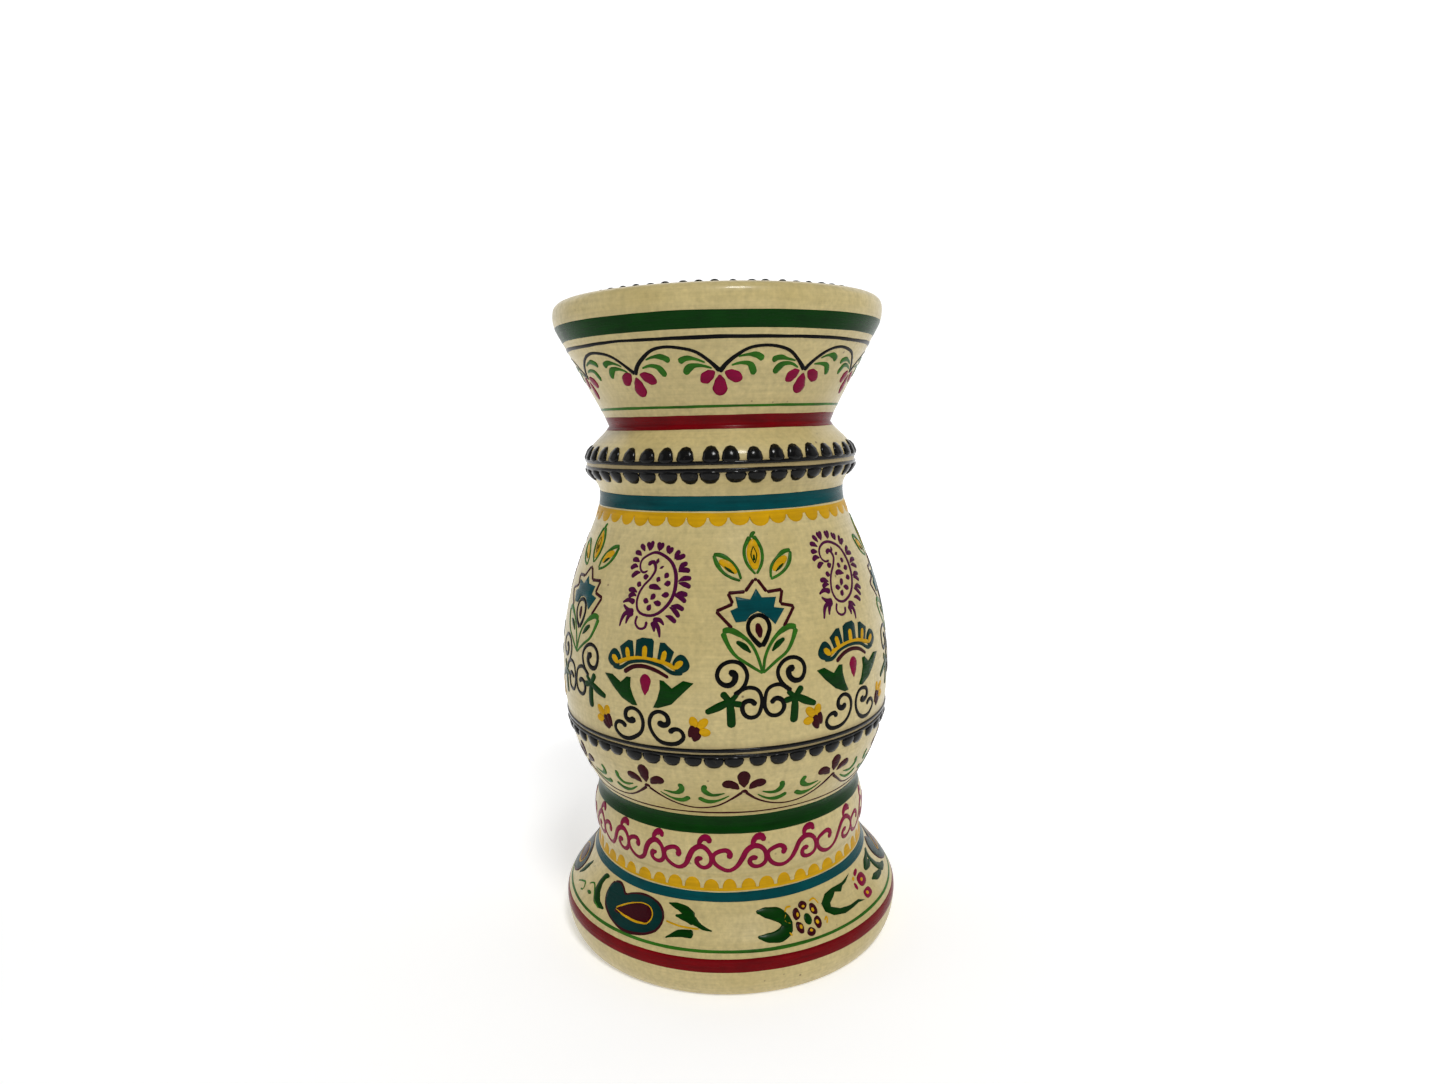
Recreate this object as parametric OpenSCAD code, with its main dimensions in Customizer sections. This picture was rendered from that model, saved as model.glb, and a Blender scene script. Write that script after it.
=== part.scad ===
// Turned and painted wooden holder for a pillar candle.
// Three turnings are glued on dowels, the cup carries an iron liner, and raised paint rings the collar,
// the belly and the rim. Origin: centre of the underside, +Z up. Millimetres.

/* [Foot] */
// Height of the foot, from its underside to its joint with the belly
foot_h = 56.4; // [46:0.5:70]
// Diameter of the foot where it meets the table
foot_bottom_d = 122; // [100:1:150]
// Largest diameter of the foot's rounded edge
foot_edge_d = 127.2; // [104:1:156]
// Height of the foot's rounded edge
foot_edge_h = 18.4; // [14:0.5:23]
// Diameter where the cove meets the waist ring
cove_d = 99.6; // [84:1:112]
// Height of the cove above the rounded edge
cove_h = 18.5; // [15:0.5:23]
// Largest diameter of the waist ring
waist_d = 102; // [88:1:116]
// Diameter of the groove between the waist ring and the belly
groove_d = 97; // [82:1:110]

/* [Belly] */
// Height of the belly turning, from groove to neck
belly_h = 127.5; // [106:0.5:154]
// Largest diameter of the belly
belly_d = 118.4; // [100:1:142]
// Height of the belly's widest place above the groove
belly_rise = 41; // [34:0.5:50]
// Diameter of the hollow between the belly and the collar
collar_hollow_d = 85.2; // [74:1:98]
// Distance from that hollow down from the neck
collar_hollow_drop = 22.5; // [19:0.5:27]
// Diameter of the collar ring
collar_d = 93.2; // [84:1:104]
// Distance from the collar ring's middle down from the neck
collar_drop = 12.2; // [11:0.2:14]
// Diameter of the neck
neck_d = 76.4; // [64:1:84]

/* [Cup] */
// Height of the cup turning, from neck to top face
cup_h = 39.5; // [33:0.5:48]
// Width of the wooden rim around the liner
rim_w = 15.6; // [13:0.2:18.8]
// Height of the rim's rounded side
rim_h = 9; // [7.5:0.5:11]
// How far the rim's rounding reaches in over the top face
rim_round = 6.2; // [5:0.2:7.4]

/* [Candle] */
// Diameter of the pillar candle
candle_d = 76.2; // [63:0.1:92]
// Play between the candle and the liner, on the radius
candle_gap = 0.4; // [0.3:0.05:0.5]
// Depth of the liner
liner_depth = 12; // [10:0.5:14.5]
// Thickness of the liner's iron
liner_wall = 1; // [0.8:0.1:1.2]
// Width of the liner's flange
flange_w = 3; // [2:0.25:3.6]

/* [Joints] */
// Diameter of both dowels
dowel_d = 25; // [20:1:30]
// Depth of each dowel in a long turning
dowel_in = 28; // [23:1:34]
// Glue gap around a dowel, on the radius
glue_gap = 0.1; // [0.05:0.05:0.2]
// Room left past a dowel's end
dowel_relief = 1; // [0.5:0.5:2]
// Wood left between the liner's screw and the upper dowel's hole
screw_web = 2.5; // [2:0.5:4]
// Length of the liner's screw
screw_l = 11; // [9:0.5:13]
// Diameter of the screw's shank
screw_d = 4; // [3.5:0.1:4.8]
// Diameter of the screw's countersunk head
screw_head_d = 8; // [7:0.2:9.6]

/* [Felt] */
// Diameter of the felt pad
felt_d = 104; // [87:1:114]
// Thickness of the felt pad
felt_t = 1.6; // [1.4:0.1:3]
// How far the felt stands proud of the foot
felt_proud = 0.6; // [0.4:0.1:0.8]

/* [Raised paint] */
// Number of beads in each row on the collar
collar_count = 42; // [30:1:50]
// Number of beads under the belly lines
belly_count = 53; // [40:1:60]
// Number of dots on the rim
rim_count = 60; // [40:1:70]
// Width of a bead
bead_w = 4.6; // [3.8:0.1:5.4]
// Width of a rim dot
dot_w = 3; // [2.4:0.1:3.6]
// Height of the beads and dots above the wood
bead_proud = 1; // [0.8:0.1:1.2]
// Width of a raised line
line_w = 1.1; // [0.8:0.1:1.4]
// Height of a raised line above the wood
line_proud = 0.5; // [0.4:0.1:0.7]
// Space between the two raised lines on the collar
collar_lines_gap = 1.2; // [1:0.1:1.6]
// Distance from the belly's widest place down to the plain line
belly_line_drop = 12; // [10:0.5:14.5]
// Distance between the belly's two lines
belly_lines_pitch = 2; // [1.8:0.1:2.6]

/* [Hidden] */
$fn = 64;
eps = 0.01;
curve_steps = 10;     // straight steps in one curve of a turned outline
line_root = 3;        // a raised line reaches this many times its height into the wood before it is trimmed
bead_to_line = 0.05;  // space between a bead and its line

// Heights of the joints between the turnings
foot_z = felt_proud;
belly_z = foot_z + foot_h;
cup_z = belly_z + belly_h;
top_z = cup_z + cup_h;

// Radii of the liner and of the rim around it
liner_r = candle_d / 2 + candle_gap;
liner_outer_r = liner_r + liner_wall;
flange_r = liner_outer_r + flange_w;
rim_r = liner_outer_r + rim_w;
dots_r = (flange_r + rim_r - rim_round) / 2 + dot_w / 4;
rim_side_z = top_z - rim_h;

// Floor of the liner, the screw under it and the room that it leaves for the upper dowel
liner_floor_z = top_z - liner_depth;
screw_tip_z = liner_floor_z - screw_l;
upper_dowel_in = screw_tip_z - screw_web - dowel_relief - cup_z;

// Heights of the collar's and the belly's rows of raised paint
collar_z = cup_z - collar_drop;
hollow_z = cup_z - collar_hollow_drop;
wide_z = belly_z + belly_rise;
collar_line_shift = (collar_lines_gap + line_w) / 2;
belly_line_z = wide_z - belly_line_drop;
belly_lower_line_z = belly_line_z - belly_lines_pitch;
// The middle of a bead lies this far from the middle of its line
bead_shift = (bead_w + line_w) / 2 + bead_to_line;

// Points [radius, height] of a cubic curve, its last one left out so that curves can be chained
function curve(a, b, c, d, n = curve_steps) = [for (i = [0 : n - 1]) let (t = i / n, s = 1 - t)
    s * s * s * a + 3 * s * s * t * b + 3 * s * t * t * c + t * t * t * d];

// Outline of the foot: rounded edge, cove, waist ring, groove
function foot_outline() = let (
    edge_r = foot_edge_d / 2, cove_r = cove_d / 2, waist_r = waist_d / 2, groove_r = groove_d / 2,
    lip_r = (foot_edge_d * 2 + cove_d) / 6 + 1.2,
    z0 = foot_z, widest_z = z0 + foot_edge_h * 0.6, lip_z = z0 + foot_edge_h, cove_z = lip_z + cove_h,
    ring_z = (cove_z + belly_z) / 2 - 1.5)
    concat(
        curve([foot_bottom_d / 2, z0], [foot_bottom_d / 2 + 1.6, z0 + 2.4], [edge_r, z0 + foot_edge_h * 0.3],
            [edge_r, widest_z], 6),
        curve([edge_r, widest_z], [edge_r, z0 + foot_edge_h * 0.8], [lip_r + 1.5, lip_z - 2.2], [lip_r, lip_z], 6),
        curve([lip_r, lip_z], [lip_r - 5.5, lip_z + cove_h * 0.36], [cove_r, cove_z - cove_h * 0.4],
            [cove_r, cove_z]),
        curve([cove_r, cove_z], [waist_r - 0.6, cove_z + 1.5], [waist_r, ring_z - 3], [waist_r, ring_z], 6),
        curve([waist_r, ring_z], [waist_r, ring_z + 4.5], [groove_r + 0.9, belly_z - 3.5], [groove_r, belly_z], 8),
        [[groove_r, belly_z]]);

// Outline of the belly: barrel, hollow, collar ring, shoulder, neck
function belly_outline() = let (
    groove_r = groove_d / 2, wide_r = belly_d / 2, hollow_r = collar_hollow_d / 2, collar_r = collar_d / 2,
    neck_r = neck_d / 2, upper_h = hollow_z - wide_z, ring_h = collar_z - hollow_z)
    concat(
        curve([groove_r, belly_z], [groove_r + 1.2, belly_z + 6], [wide_r, wide_z - belly_rise * 0.66],
            [wide_r, wide_z], 12),
        curve([wide_r, wide_z], [wide_r, wide_z + upper_h * 0.56], [hollow_r, hollow_z - upper_h * 0.16],
            [hollow_r, hollow_z], 14),
        curve([hollow_r, hollow_z], [hollow_r, hollow_z + ring_h * 0.5], [collar_r, collar_z - ring_h * 0.45],
            [collar_r, collar_z], 8),
        curve([collar_r, collar_z], [collar_r, collar_z + collar_drop * 0.5],
            [neck_r + 3, cup_z - 4.2], [neck_r, cup_z], 8),
        [[neck_r, cup_z]]);

// Outline of the cup: flare, rounded rim, top face
function cup_outline() = let (neck_r = neck_d / 2, side_r = rim_r - 1.1, face_r = rim_r - rim_round)
    concat(
        curve([neck_r, cup_z], [neck_r + 0.9, cup_z + cup_h * 0.08],
            [side_r - rim_h * 0.58, rim_side_z - rim_h * 1.1], [side_r, rim_side_z], 8),
        curve([side_r, rim_side_z], [rim_r, rim_side_z + rim_h * 0.22], [rim_r + 0.3, top_z - rim_h * 0.3],
            [rim_r - 1.2, top_z - rim_h * 0.17], 8),
        curve([rim_r - 1.2, top_z - rim_h * 0.17], [rim_r - 2, top_z - rim_h * 0.06], [face_r + 2, top_z],
            [face_r, top_z], 5),
        [[face_r, top_z]]);

// Solid turned about the axis from an outline of [radius, height] points
module turned(outline) {
    rotate_extrude()
        polygon(concat([[0, outline[0].y]], outline, [[0, outline[len(outline) - 1].y]]));
}

// Radius of an outline at height z
function radius_at(outline, z) = lookup(z, [for (p = outline) [p.y, p.x]]);

// Dowel hole around the axis, from height a to height b
module dowel_hole(a, b) {
    translate([0, 0, a]) cylinder(r = dowel_d / 2 + glue_gap, h = b - a);
}

module dowel(a, b) {
    translate([0, 0, a]) cylinder(d = dowel_d, h = b - a);
}

// A raised line that follows the outline, centred at height z, before the wood is cut out of it
module line_ring(outline, z) {
    half = line_w / 2;
    deep = line_proud * line_root;
    low = radius_at(outline, z - half);
    high = radius_at(outline, z + half);
    rotate_extrude()
        polygon([[low - deep, z - half], [low + line_proud * 0.4, z - half], [low + line_proud, z - half * 0.5],
            [high + line_proud, z + half * 0.5], [high + line_proud * 0.4, z + half], [high - deep, z + half]]);
}

// Radius of the ball whose cap of the given width stands bead_proud above the wood
function ball_r(width) = (width * width / 4 + bead_proud * bead_proud) / (2 * bead_proud);

// A drop of raised paint, flat underneath, standing along +Z
module drop(width) {
    ball = ball_r(width);
    difference() {
        translate([0, 0, bead_proud - ball]) sphere(r = ball);
        translate([0, 0, -ball]) cube(2 * ball, center = true);
    }
}

// The stretch of an outline between two heights, as a solid to cut raised paint with
module wood_band(outline, low, high) {
    inside = [for (p = outline) if (p.y > low && p.y < high) p];
    turned(concat([[radius_at(outline, low), low]], inside, [[radius_at(outline, high), high]]));
}

// A raised line trimmed by the wood
module line(outline, z) {
    difference() {
        line_ring(outline, z);
        wood_band(outline, z - line_w, z + line_w);
    }
}

// Slope of an outline at height z, as the angle in degrees by which its surface leans back from upright
function lean_at(outline, z) = atan2(radius_at(outline, z - eps) - radius_at(outline, z + eps), 2 * eps);

// A row of drops beside the line at height z, square to the wood: above it at side 1, below it at side -1
module beads(outline, z, count, side) {
    bead_z = z + side * bead_shift;
    for (i = [0 : count - 1])
        rotate([0, 0, i * 360 / count]) translate([radius_at(outline, bead_z), 0, bead_z])
            rotate([0, 90 - lean_at(outline, bead_z), 0]) drop(bead_w);
}

module foot() {
    color("ivory") difference() {
        turned(foot_outline());
        dowel_hole(belly_z - dowel_in - dowel_relief, belly_z + eps);
        translate([0, 0, foot_z - eps]) cylinder(d = felt_d + 2 * glue_gap, h = felt_t - felt_proud + eps);
    }
}

module belly() {
    color("ivory") difference() {
        turned(belly_outline());
        dowel_hole(belly_z - eps, belly_z + dowel_in + dowel_relief);
        dowel_hole(cup_z - dowel_in - dowel_relief, cup_z + eps);
    }
}

module top_cup() {
    color("ivory") difference() {
        turned(cup_outline());
        dowel_hole(cup_z - eps, cup_z + upper_dowel_in + dowel_relief);
        translate([0, 0, liner_floor_z - liner_wall])
            cylinder(r = liner_outer_r + glue_gap, h = liner_depth + liner_wall + eps);
        translate([0, 0, top_z - liner_wall]) cylinder(r = flange_r + glue_gap, h = liner_wall + eps);
        screw_shape(glue_gap);
    }
}

module lower_dowel() {
    color("burlywood") dowel(belly_z - dowel_in, belly_z + dowel_in);
}

module upper_dowel() {
    color("burlywood") dowel(cup_z - dowel_in, cup_z + upper_dowel_in);
}

// Countersunk screw down from the liner's floor, made larger all round by the given play
module screw_shape(play) {
    head_h = (screw_head_d - screw_d) / 2;
    point_h = screw_d * 0.6;
    r = screw_d / 2 + play;
    rotate_extrude() polygon([[0, liner_floor_z], [screw_head_d / 2 + play, liner_floor_z],
        [r, liner_floor_z - head_h], [r, screw_tip_z + point_h], [0, screw_tip_z - play]]);
}

module candle_liner() {
    color("dimgray") difference() {
        union() {
            translate([0, 0, liner_floor_z - liner_wall])
                cylinder(r = liner_outer_r, h = liner_depth + liner_wall);
            translate([0, 0, top_z - liner_wall]) cylinder(r = flange_r, h = liner_wall);
        }
        translate([0, 0, liner_floor_z]) cylinder(r = liner_r, h = liner_depth + eps);
        screw_shape(glue_gap);
    }
}

module liner_screw() {
    color("gray") screw_shape(0);
}

module felt_pad() {
    color("darkolivegreen") cylinder(d = felt_d, h = felt_t);
}

module rim_dots() {
    color("black")
        for (i = [0 : rim_count - 1]) rotate([0, 0, i * 360 / rim_count]) translate([dots_r, 0, top_z]) drop(dot_w);
}

module collar_beads_upper() {
    color("black") beads(belly_outline(), collar_z + collar_line_shift, collar_count, 1);
}

module collar_line_upper() {
    color("black") line(belly_outline(), collar_z + collar_line_shift);
}

module collar_line_lower() {
    color("black") line(belly_outline(), collar_z - collar_line_shift);
}

module collar_beads_lower() {
    color("black") beads(belly_outline(), collar_z - collar_line_shift, collar_count, -1);
}

module belly_line_upper() {
    color("black") line(belly_outline(), belly_line_z);
}

module belly_line_lower() {
    color("black") line(belly_outline(), belly_lower_line_z);
}

module belly_beads() {
    color("black") beads(belly_outline(), belly_lower_line_z, belly_count, -1);
}

foot();
belly();
top_cup();
lower_dowel();
upper_dowel();
candle_liner();
liner_screw();
felt_pad();
rim_dots();
collar_beads_upper();
collar_line_upper();
collar_line_lower();
collar_beads_lower();
belly_line_upper();
belly_line_lower();
belly_beads();
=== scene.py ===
"""Looks of a turned wooden pillar candle holder.

Lacquered turnings, raised black beading, painted folk motifs, and the iron, felt and dowels inside.
"""

import math
import random
from bisect import bisect_right

import bmesh
import bpy
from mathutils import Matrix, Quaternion, Vector, noise


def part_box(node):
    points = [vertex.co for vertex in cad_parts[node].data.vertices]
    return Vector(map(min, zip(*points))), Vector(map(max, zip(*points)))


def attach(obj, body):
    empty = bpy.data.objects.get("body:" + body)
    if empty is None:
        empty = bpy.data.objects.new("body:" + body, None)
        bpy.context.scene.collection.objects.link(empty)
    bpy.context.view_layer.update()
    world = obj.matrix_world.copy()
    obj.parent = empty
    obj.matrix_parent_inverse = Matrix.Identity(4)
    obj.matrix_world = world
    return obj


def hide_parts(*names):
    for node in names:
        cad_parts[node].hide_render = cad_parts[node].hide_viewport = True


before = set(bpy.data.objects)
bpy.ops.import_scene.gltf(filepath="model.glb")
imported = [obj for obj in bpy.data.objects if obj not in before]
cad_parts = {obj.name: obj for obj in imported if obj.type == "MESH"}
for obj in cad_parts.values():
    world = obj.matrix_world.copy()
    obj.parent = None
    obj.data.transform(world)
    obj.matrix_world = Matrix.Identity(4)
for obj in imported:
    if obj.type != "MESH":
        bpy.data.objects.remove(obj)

bl_info = {
    "name": "Painted Candle Holder",
    "version": (1, 0, 0),
    "blender": (4, 5, 0),
    "location": "3D View > Sidebar > Candle Holder",
    "description": "Builds the painted turnings, raised beading and fittings of a pillar candle holder",
    "category": "Object",
}

MM = 0.001
DEGREE = math.radians(1)
BODY = "root"
TURNINGS = ("foot", "belly", "top_cup")
ROUND_STEPS = 192


# ---------------------------------------------------------------- curves and the turned surface


def rounded(points, steps, closed=False):
    """A smooth curve through 2-D points, with the given number of steps in each span."""
    count = len(points)

    def point(i):
        return points[i % count] if closed else points[min(max(i, 0), count - 1)]

    def direction(i):
        before, after = point(i) - point(i - 1), point(i + 1) - point(i)
        a, b = before.length or 1e-9, after.length or 1e-9
        mixed = before / a * b + after / b * a
        return mixed.normalized() if mixed.length > 1e-9 else Vector((0, 0))

    curve = []
    for i in range(count if closed else count - 1):
        start, end = point(i), point(i + 1)
        span = (end - start).length
        leave, arrive = direction(i) * span, direction(i + 1) * span
        for step in range(steps):
            t = step / steps
            keep = (1 + 2 * t) * (1 - t) ** 2
            curve.append(
                start * keep
                + end * (1 - keep)
                + leave * (t * (1 - t) ** 2)
                - arrive * (t * t * (1 - t))
            )
    if not closed:
        curve.append(points[-1])
    return curve


def box_mm(node):
    """Outer radius, lowest and highest height of a CAD node, in millimetres."""
    low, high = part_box(node)
    return high.x / MM, low.z / MM, high.z / MM


class TurnedSurface:
    """The outside of the three turnings: radius against height, read from the CAD nodes and smoothed.

    STEP is the height between rows of the table. INSET keeps the wood inside the CAD outline, so that
    the paint stays within it too. Both are in millimetres.
    """

    STEP = 0.1
    INSET = 0.12

    def __init__(self):
        knots = {}
        for node in TURNINGS:
            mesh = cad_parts[node].data
            for face in mesh.polygons:
                centre, out = face.center, face.normal
                if out.x * centre.x + out.y * centre.y < 0.05 * math.hypot(centre.x, centre.y):
                    continue
                for index in face.vertices:
                    corner = mesh.vertices[index].co
                    height = round(corner.z / MM, 2)
                    radius = math.hypot(corner.x, corner.y) / MM
                    knots[height] = max(knots.get(height, 0), radius)
        creases = [box_mm("foot")[2], box_mm("belly")[2]]
        self.stretches = []
        lowest = -1.0
        for top in creases + [1e9]:
            inside = [(z, r) for z, r in sorted(knots.items()) if lowest - 0.02 <= z <= top + 0.02]
            self.stretches.append(rounded([Vector((r - self.INSET, z)) for z, r in inside], 3))
            lowest = top
        curve = [p for stretch in self.stretches for p in stretch]
        heights = [p.y for p in curve]
        self.table = []
        for row in range(round(heights[-1] / self.STEP) + 2):
            z = row * self.STEP
            i = min(max(bisect_right(heights, z), 1), len(curve) - 1)
            low, high = curve[i - 1], curve[i]
            share = (z - low.y) / max(high.y - low.y, 1e-6)
            self.table.append(low.x + (high.x - low.x) * min(max(share, 0), 1))

    def radius(self, z):
        place = min(max(z / self.STEP, 0), len(self.table) - 1.001)
        row = int(place)
        return self.table[row] + (self.table[row + 1] - self.table[row]) * (place - row)

    def slope(self, z):
        """Change of radius with height, over a short stretch so that it changes smoothly."""
        reach = 0.6
        return (self.radius(z + reach) - self.radius(z - reach)) / (2 * reach)

    def at(self, degrees, z, lift=0.0):
        """The point at an angle round the axis, 0 facing -Y, and a height, lifted off the surface. Metres."""
        slope = self.slope(z)
        square = math.hypot(1, slope)
        radius = self.radius(z) + lift / square
        height = z - lift * slope / square
        angle = degrees * DEGREE
        return Vector((radius * math.sin(angle), -radius * math.cos(angle), height)) * MM


surface = TurnedSurface()


# ---------------------------------------------------------------- painting on the surface


class Spot:
    """A place on the holder where a motif is painted: its own points go round and up from there."""

    def __init__(self, degrees, rise=0.0, flip=1, stretch=1.0, wander=0.1, seed=0):
        self.degrees, self.rise, self.flip, self.stretch = degrees, rise, flip, stretch
        self.wander = wander
        self.dice = random.Random(seed * 7919 + round(degrees * 10))

    def mirrored(self):
        """The same place, with its motif turned left to right."""
        return Spot(self.degrees, self.rise, -self.flip, self.stretch, self.wander, 1)

    def __call__(self, *points):
        shake = self.dice.gauss
        return [
            (
                self.degrees + self.flip * self.stretch * x + shake(0, self.wander),
                z + self.rise + shake(0, self.wander),
            )
            for x, z in points
        ]


class Coat:
    """Paint of one colour on one part of the holder, laid stroke by stroke as closed low shapes."""

    def __init__(self, name, paint, slot, lift=0.16, sides=8):
        self.name, self.paint, self.slot = name, paint, slot
        self.lift, self.sides = lift, sides
        self.bm = bmesh.new()
        self.scratch = bpy.data.meshes.new("patch")

    def ball(self, sides, rings):
        """A unit ball in a bmesh of its own, to be shaped into one mark."""
        mark = bmesh.new()
        bmesh.ops.create_uvsphere(mark, u_segments=sides, v_segments=rings, radius=1)
        return mark

    def stroke(self, path, widths, lift=None, spacing=0.8):
        """A brush stroke along points (degrees, height), its widths in millimetres spread evenly along it."""
        lift = self.lift if lift is None else lift
        scale = DEGREE * surface.radius(sum(z for _, z in path) / len(path))
        corners = [Vector((degrees * scale, z)) for degrees, z in path]
        route = rounded(corners, 8 if len(path) < 4 else 6)
        marks = [0.0]
        for here, there in zip(route, route[1:]):
            marks.append(marks[-1] + max((there - here).length, 1e-6))
        total = marks[-1]
        broad = max(widths) / 2
        rings = min(max(round(total / spacing) + 5, 8), 64)
        mark = self.ball(self.sides, rings)
        for vert in mark.verts:
            axis = min(max(vert.co.z, -1.0), 1.0)
            girth = math.hypot(vert.co.x, vert.co.y)
            share = (math.acos(-axis) / math.pi + (1 + axis) / 2) / 2
            along = share * total
            i = min(max(bisect_right(marks, along), 1), len(route) - 1)
            here, there = route[i - 1], route[i]
            place = here.lerp(there, (along - marks[i - 1]) / (marks[i] - marks[i - 1]))
            half = spread(widths, share) / 2
            end = min(along, total - along)
            reach = min(half, total / 2)
            if end < reach:
                half *= math.sqrt(max(1 - (1 - end / reach) ** 2, 0))
            side = vert.co.x / girth * half if girth > 1e-4 else 0.0
            up = vert.co.y / girth * (half / broad) ** 0.6 if girth > 1e-4 else 0.0
            heading = (there - here).normalized()
            degrees = (place.x - heading.y * side) / scale
            vert.co = surface.at(degrees, place.y + heading.x * side, lift * up)
        self._take(mark)

    def fill(self, outline, lift=None, smooth=False, edge=0.22, grid=2.4):
        """A filled patch of paint with a soft edge, inside an outline of (degrees, height) points."""
        lift = self.lift if lift is None else lift
        scale = DEGREE * surface.radius(sum(z for _, z in outline) / len(outline))
        corners = [Vector((degrees * scale, z)) for degrees, z in outline]
        if smooth:
            corners = rounded(corners, 5, closed=True)
        patch = bmesh.new()
        face = patch.faces.new([patch.verts.new((c.x, c.y, 0)) for c in corners])
        face.normal_update()
        if face.normal.z < 0:
            face.normal_flip()
        raised = bmesh.ops.extrude_face_region(patch, geom=[face], use_keep_orig=True)["geom"]
        for vert in raised:
            if isinstance(vert, bmesh.types.BMVert):
                vert.co.z = 0.3
        tops = [f for f in raised if isinstance(f, bmesh.types.BMFace)]
        bmesh.ops.inset_region(patch, faces=tops, thickness=edge, use_even_offset=False)
        for top in tops:
            for vert in top.verts:
                vert.co.z = 1.0
        bmesh.ops.triangulate(patch, faces=[f for f in patch.faces if len(f.verts) > 4])
        for axis, low, high in (
            (0, min(c.x for c in corners), max(c.x for c in corners)),
            (1, min(c.y for c in corners), max(c.y for c in corners)),
        ):
            for cut in range(1, math.ceil((high - low) / grid)):
                everything = patch.verts[:] + patch.edges[:] + patch.faces[:]
                cut_across(patch, everything, axis, low + cut * grid, 1e-4)
        for vert in patch.verts:
            height = -lift if vert.co.z == 0 else lift * vert.co.z
            vert.co = surface.at(vert.co.x / scale, vert.co.y, height)
        self._take(patch)

    def _take(self, patch):
        """Adds a small bmesh of its own to this coat."""
        patch.to_mesh(self.scratch)
        patch.free()
        self.bm.from_mesh(self.scratch)

    def band(self, z, width, lift=None, wander=0.18, sides=16, steps=ROUND_STEPS):
        """A band round the whole holder, with slightly uneven edges."""
        lift = self.lift if lift is None else lift
        ring = bmesh.new()
        section = bmesh.ops.create_circle(ring, segments=sides, radius=1)["verts"]
        for vert in section:
            vert.co = Vector((3 + vert.co.x, 0, vert.co.y))
        bmesh.ops.spin(
            ring,
            geom=section + ring.edges[:],
            cent=(0, 0, 0),
            axis=(0, 0, 1),
            angle=math.tau,
            steps=steps,
            use_merge=True,
        )
        for vert in ring.verts:
            girth = math.hypot(vert.co.x, vert.co.y)
            angle = math.atan2(vert.co.x, -vert.co.y)
            out, along = girth - 3, vert.co.z
            edge = 1 if along > 0 else -1
            round_trip = Vector((math.sin(angle), math.cos(angle), z * 0.37 + edge * 0.11 * width))
            shift = wander * noise.noise(round_trip * 2.3) + wander * 0.35 * noise.noise(round_trip * 9)
            height = z + along * width / 2 + shift * abs(along)
            vert.co = surface.at(math.degrees(angle), height, lift * max(-1, min(1, out * 1.5)))
        self._take(ring)

    def drop(self, degrees, z, width, above, below, lift, sides=10, rings=6):
        """A thick drop of paint, widest at z, reaching its own distances above and below it."""
        scale = DEGREE * surface.radius(z)
        mark = self.ball(sides, rings)
        for vert in mark.verts:
            across, out, up = vert.co
            reach = above if up > 0 else below
            vert.co = surface.at(degrees + across * width / 2 / scale, z + up * reach, lift * out)
        self._take(mark)

    def finish(self, *stands_for):
        """Makes one piece of all the paint laid so far."""
        bpy.data.meshes.remove(self.scratch)
        return piece(self.name, self.bm, self.paint, stands_for, crease=math.pi)


def cut_across(bm, geometry, axis, place, weld):
    """Adds edges where geometry crosses the plane in which one coordinate has the given value."""
    where, square = Vector((0, 0, 0)), Vector((0, 0, 0))
    where[axis], square[axis] = place, 1
    bmesh.ops.bisect_plane(bm, geom=geometry, plane_co=where, plane_no=square, dist=weld)


def spread(values, share):
    """The value at a share from 0 to 1 of evenly spread values, eased between them."""
    place = share * (len(values) - 1)
    i = min(int(place), len(values) - 2)
    t = place - i
    return values[i] + (values[i + 1] - values[i]) * t * t * (3 - 2 * t)


def piece(name, bm, material, stands_for=(), crease=0.6):
    """Makes the finished mesh object, shades it, and ties it to the holder's body."""
    bmesh.ops.recalc_face_normals(bm, faces=bm.faces)
    for face in bm.faces:
        face.smooth = True
    if crease < math.pi:
        for edge in bm.edges:
            edge.smooth = edge.calc_face_angle(0) < crease
    mesh = bpy.data.meshes.new(name)
    bm.to_mesh(mesh)
    bm.free()
    mesh.materials.append(material)
    made = bpy.data.objects.new(name, mesh)
    bpy.context.scene.collection.objects.link(made)
    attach(made, BODY)
    if stands_for:
        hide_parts(*stands_for)
    return made


def spun(section, steps=ROUND_STEPS):
    """A closed turned solid from a section of (radius, height) points in millimetres, axis to axis."""
    bm = bmesh.new()
    verts = [bm.verts.new((radius * MM, 0, height * MM)) for radius, height in section]
    edges = [bm.edges.new(pair) for pair in zip(verts, verts[1:])]
    bmesh.ops.spin(
        bm,
        geom=verts + edges,
        cent=(0, 0, 0),
        axis=(0, 0, 1),
        angle=math.tau,
        steps=steps,
        use_merge=True,
    )
    bmesh.ops.remove_doubles(bm, verts=bm.verts, dist=1e-7)
    return bm


# ---------------------------------------------------------------- shader writing


class Flow:
    """A value in a shader: arithmetic on it adds Math nodes."""

    def __init__(self, tree, socket):
        self.tree, self.socket = tree, socket

    def _math(self, operation, a, b=None):
        node = self.tree.nodes.new("ShaderNodeMath")
        node.operation = operation
        for slot, value in zip(node.inputs, (a, b)):
            if isinstance(value, Flow):
                self.tree.links.new(value.socket, slot)
            elif value is not None:
                slot.default_value = value
        return Flow(self.tree, node.outputs[0])

    def __add__(self, other):
        return self._math("ADD", self, other)

    __radd__ = __add__

    def __sub__(self, other):
        return self._math("SUBTRACT", self, other)

    def __rsub__(self, other):
        return self._math("SUBTRACT", other, self)

    def __mul__(self, other):
        return self._math("MULTIPLY", self, other)

    __rmul__ = __mul__

    def __abs__(self):
        return self._math("ABSOLUTE", self)

    def clamped(self):
        made = self._math("ADD", self, 0.0)
        made.socket.node.use_clamp = True
        return made

    def most(self, other):
        return self._math("MAXIMUM", self, other)


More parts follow.
